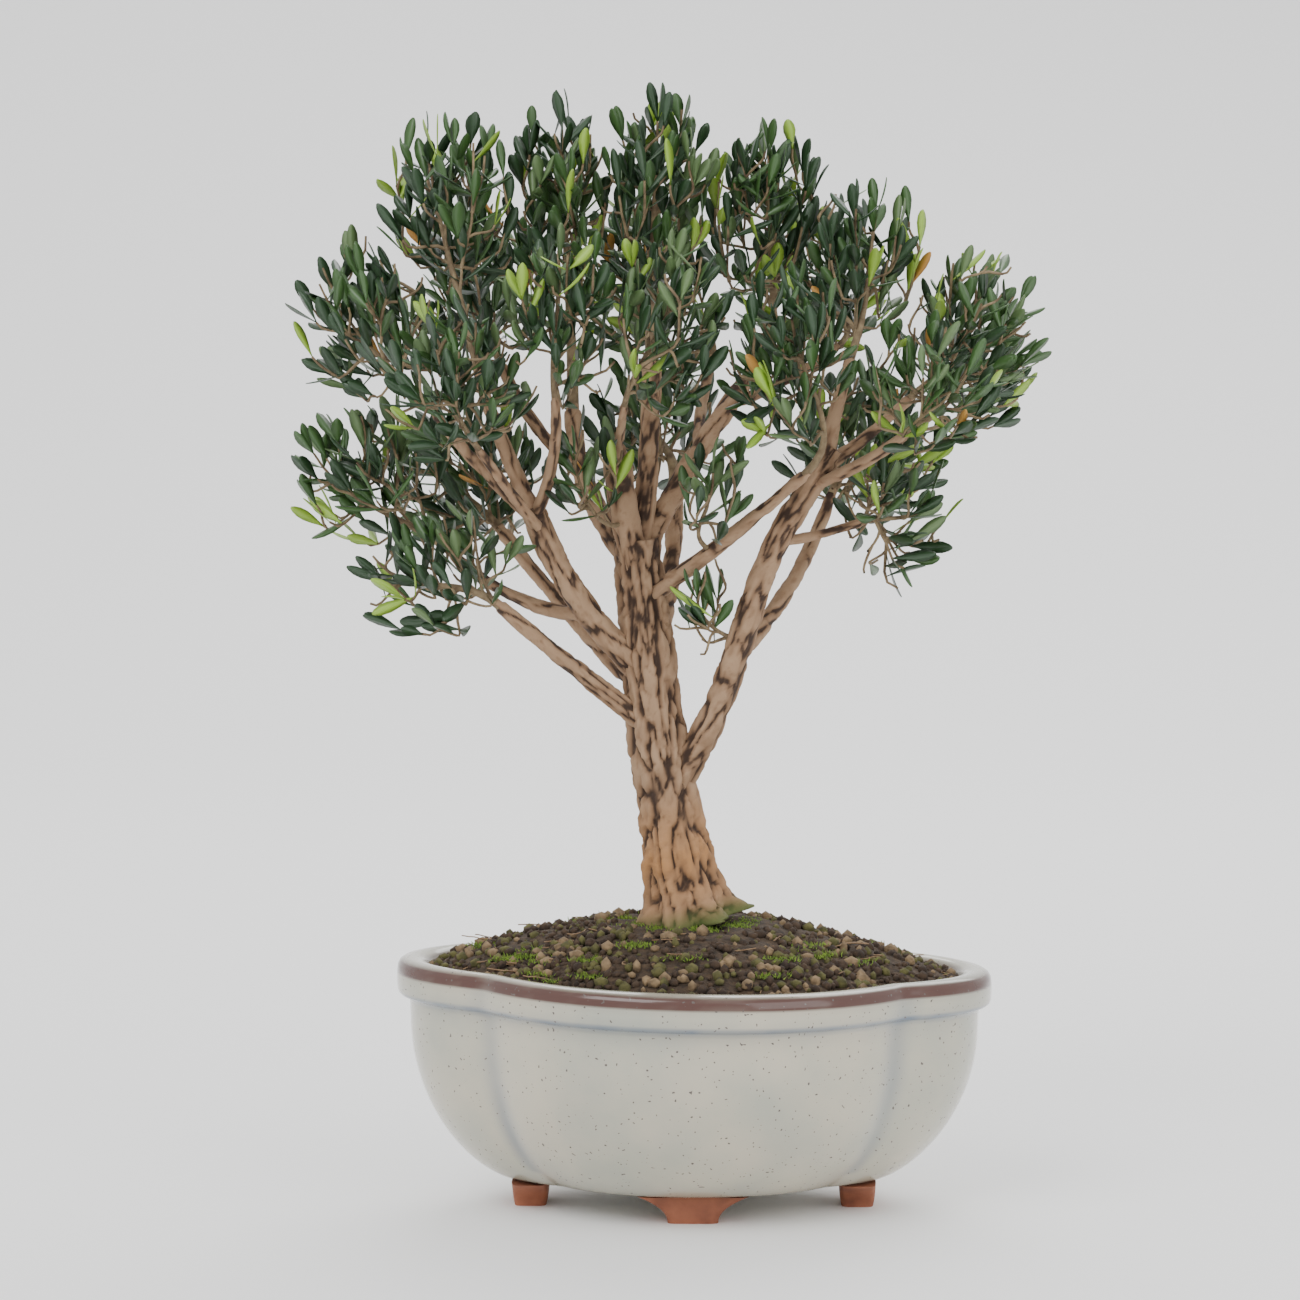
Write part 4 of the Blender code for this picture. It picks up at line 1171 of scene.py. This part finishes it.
    def leaf_shoot(self, name: str, space: Space, path: list, rng: random.Random) -> None:
        """Hang crossed pairs of leaves on the outer part of a twig, with a pair at its tip."""
        forward = (path[-1] - path[-2]).normalized()
        side = forward.orthogonal().normalized()
        twist = rng.uniform(0, math.pi)
        side = side * math.cos(twist) + forward.cross(side) * math.sin(twist)
        outer = np.linalg.norm((np.array(path[-1]) - space.centre) / space.reach)
        draw = rng.random()
        kind = Kind.DARK if draw < self.dark_share else Kind.GREEN if draw < self.green_share else Kind.PALE
        sprouting = outer > self.sprout_from and rng.random() < self.sprouts
        length = sum((end - start).length for start, end in zip(path, path[1:]))
        count = min(self.pairs, max(1, int(length / self.pair_gap)))
        size = self.leaf_length * rng.uniform(0.82, 1.12)
        for pair in range(count):
            root = along(path, length - pair * self.pair_gap * rng.uniform(0.9, 1.1))
            side = forward.cross(side).normalized()
            opening = self.opening + self.opening_step * pair if pair else self.tip_opening
            spread = math.radians(opening * rng.uniform(0.8, 1.2))
            for hand in (-1, 1):
                ahead = (forward * math.cos(spread) + side * hand * math.sin(spread)).normalized()
                tone = Kind.YOUNG if sprouting and pair < 2 else kind
                if rng.random() < self.spent:
                    tone = Kind.SPENT
                across = forward.cross(ahead) + Vector([rng.gauss(0, 0.25) for _ in range(3)])
                across = (across - ahead * across.dot(ahead)).normalized()
                long = size * (1.0 if pair else self.tip_leaf) * rng.uniform(0.85, 1.1)
                wide = self.leaf_width * rng.uniform(0.85, 1.15)
                curl = rng.uniform(-0.05, 0.16)
                self.keep_leaf(name, space, Leaf(root, ahead, across, long, wide, curl, tone))

    def keep_leaf(self, name: str, space: Space, leaf: Leaf) -> None:
        """Keep a leaf that stays in the space and off the limbs."""
        tip = leaf.root + leaf.forward * leaf.length
        middle = leaf.root + leaf.forward * leaf.length * 0.55
        edge = leaf.across * leaf.width / 2
        tests = [tip, middle, middle + edge, middle - edge]
        if space.holds(tests) and self.wood.clearance(tests, name) > self.leaf_clearance:
            self.leaves.append(leaf)

    def build(self) -> None:
        """Grow every mass, then make the twigs and each kind of leaf."""
        stems = {name: self.stem(name) for name in MASSES}
        for number, name in enumerate(MASSES):
            rng = random.Random(SEED + number)
            space = Space(name)
            runs = [stems[name]]
            foot, ends = runs[0][0][0], [runs[0][0][-1]]
            for growth in self.rounds:
                places = self.tips(name, space, ends, growth, rng)
                for place in sorted(places, key=lambda place: (place - foot).length):
                    if self.grow_twig(name, space, runs, place, growth):
                        ends.append(place)
            for path, _ in runs:
                self.leaf_shoot(name, space, path, rng)
            self.twigs += runs
        log.info("%d twigs and %d leaves", len(self.twigs), len(self.leaves))
        self.build_twigs()
        for finish in LEAF_FINISHES:
            self.build_leaves(finish)

    def build_twigs(self) -> None:
        """Join all the stems and twigs into one piece."""
        verts, faces = [], []
        for path, radius in self.twigs:
            rings = tube_rings(path, list(np.linspace(radius, self.shoot_radius, len(path))), self.twig_sides)
            faces += bands(len(verts), len(rings), self.twig_sides)
            verts += [point[:] for ring in rings for point in ring]
        finish = GrainFinish("twig_bark", (0.10, 0.065, 0.035), (0.27, 0.20, 0.11), 260.0, 0.8, 0.5)
        joined("twigs", np.array(verts), np.array(faces), finish.material())

    def build_leaves(self, finish: LeafFinish) -> None:
        """Join the leaves of one kind: closed blades with a rounded tip, a midrib crease and a curl."""
        verts, faces = [], []
        for leaf in self.leaves:
            if leaf.kind is not finish.kind:
                continue
            back = leaf.across.cross(leaf.forward).normalized()
            start = len(verts)
            for share, wide in self.stations:
                spine = leaf.root + leaf.forward * leaf.length * share
                spine -= back * leaf.length * leaf.curl * share ** 2
                edge = leaf.across * leaf.width / 2 * wide
                lift = back * (0.35 * wide + 0.1)
                corners = (spine - edge + lift, spine + back * 0.12, spine + edge + lift, spine - back * 0.14)
                verts += [corner[:] for corner in corners]
            faces += bands(start, len(self.stations), 4)
            faces.append((start + 3, start + 2, start + 1, start))
            last = start + 4 * (len(self.stations) - 1)
            faces.append((last, last + 1, last + 2, last + 3))
        name = f"leaves_{finish.kind.value}"
        leaves = joined(name, np.array(verts), np.array(faces), finish.material())
        if finish.kind is Kind.DARK:
            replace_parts(leaves, *MASSES)


@dataclass
class Studio:
    """A pale sweep, soft lights and the camera at the photograph's angle, in metres but for two."""

    distance: float = 1.7
    azimuth: float = 1.1
    elevation: float = 4.6
    look_mm: tuple = (-15.8, 0.0, 198.8)
    pixel_mm: float = 215.0 / 604.0
    sensor: float = 36.0
    wall: float = 2.6
    sweep: float = 1.2
    sweep_steps: int = 16
    front: float = -4.0
    half_width: float = 5.0
    wall_height: float = 5.0
    floor_tone: float = 0.92
    sky_strength: float = 1.15
    aim: Vector = field(default_factory=lambda: Vector((0, 0, 0.2)))
    # Name, place, size and power of each lamp.
    lamps: tuple = (
        ("key", (-0.9, -1.3, 1.6), 1.2, 20.0),
        ("fill", (1.2, -1.2, 0.9), 1.3, 9.0),
        ("back", (0.3, 1.3, 1.7), 1.6, 26.0),
    )

    def build(self) -> None:
        """Make the camera, the backdrop and the lights."""
        self.build_camera()
        self.build_backdrop()
        for name, spot, size, power in self.lamps:
            data = bpy.data.lights.new(name, "AREA")
            data.size = size
            data.energy = power
            lamp = linked(name, data)
            lamp.location = spot
            lamp.rotation_euler = (Vector(spot) - self.aim).to_track_quat("Z", "Y").to_euler()
        world = bpy.data.worlds.new("world")
        bpy.context.scene.world = world
        world.use_nodes = True
        sky = world.node_tree.nodes["Background"]
        sky.inputs["Color"].default_value = (1.0, 1.0, 1.0, 1.0)
        sky.inputs["Strength"].default_value = self.sky_strength

    def build_camera(self) -> None:
        """Set the camera where the photograph was taken from."""
        azimuth, elevation = math.radians(self.azimuth), math.radians(self.elevation)
        level = Vector((math.sin(azimuth), -math.cos(azimuth), 0)) * math.cos(elevation)
        back = level + Vector((0, 0, math.sin(elevation)))
        data = bpy.data.cameras.new("camera")
        data.sensor_width = self.sensor
        data.lens = self.sensor * self.distance / (self.pixel_mm * MM * PHOTO_SIDE)
        data.clip_end = 20.0
        camera = linked("camera", data)
        camera.location = placed(Vector(self.look_mm)) + back * self.distance
        camera.rotation_euler = back.to_track_quat("Z", "Y").to_euler()
        bpy.context.scene.camera = camera

    def build_backdrop(self) -> None:
        """Make a floor that sweeps up into a wall behind the plant."""
        profile = [(self.front, 0.0)]
        for step in range(self.sweep_steps + 1):
            turn = math.pi / 2 * step / self.sweep_steps
            rise = self.sweep * (1 - math.cos(turn))
            profile.append((self.wall - self.sweep + self.sweep * math.sin(turn), rise))
        profile.append((self.wall, self.wall_height))
        bm = bmesh.new()
        sides = (-self.half_width, self.half_width)
        left, right = [[bm.verts.new((side, y, z)) for y, z in profile] for side in sides]
        for row in range(len(profile) - 1):
            bm.faces.new((left[row], right[row], right[row + 1], left[row + 1]))
        mesh = bpy.data.meshes.new("floor")
        bm.to_mesh(mesh)
        bm.free()
        mesh.shade_smooth()
        material = bpy.data.materials.new("floor_white")
        material.use_nodes = True
        shader = material.node_tree.nodes["Principled BSDF"]
        shader.inputs["Base Color"].default_value = (self.floor_tone,) * 3 + (1.0,)
        shader.inputs["Roughness"].default_value = 0.7
        mesh.materials.append(material)
        linked("floor", mesh)


def main() -> None:
    """Build the studio, then the plant from the pot up."""
    logging.basicConfig(level=logging.INFO, format="%(message)s")
    Studio().build()
    pot = Pot()
    pot.build()
    Feet().build()
    Soil(pot).build()
    wood = Wood()
    wood.build()
    Foliage(wood).build()


if __name__ == "__main__":
    main()
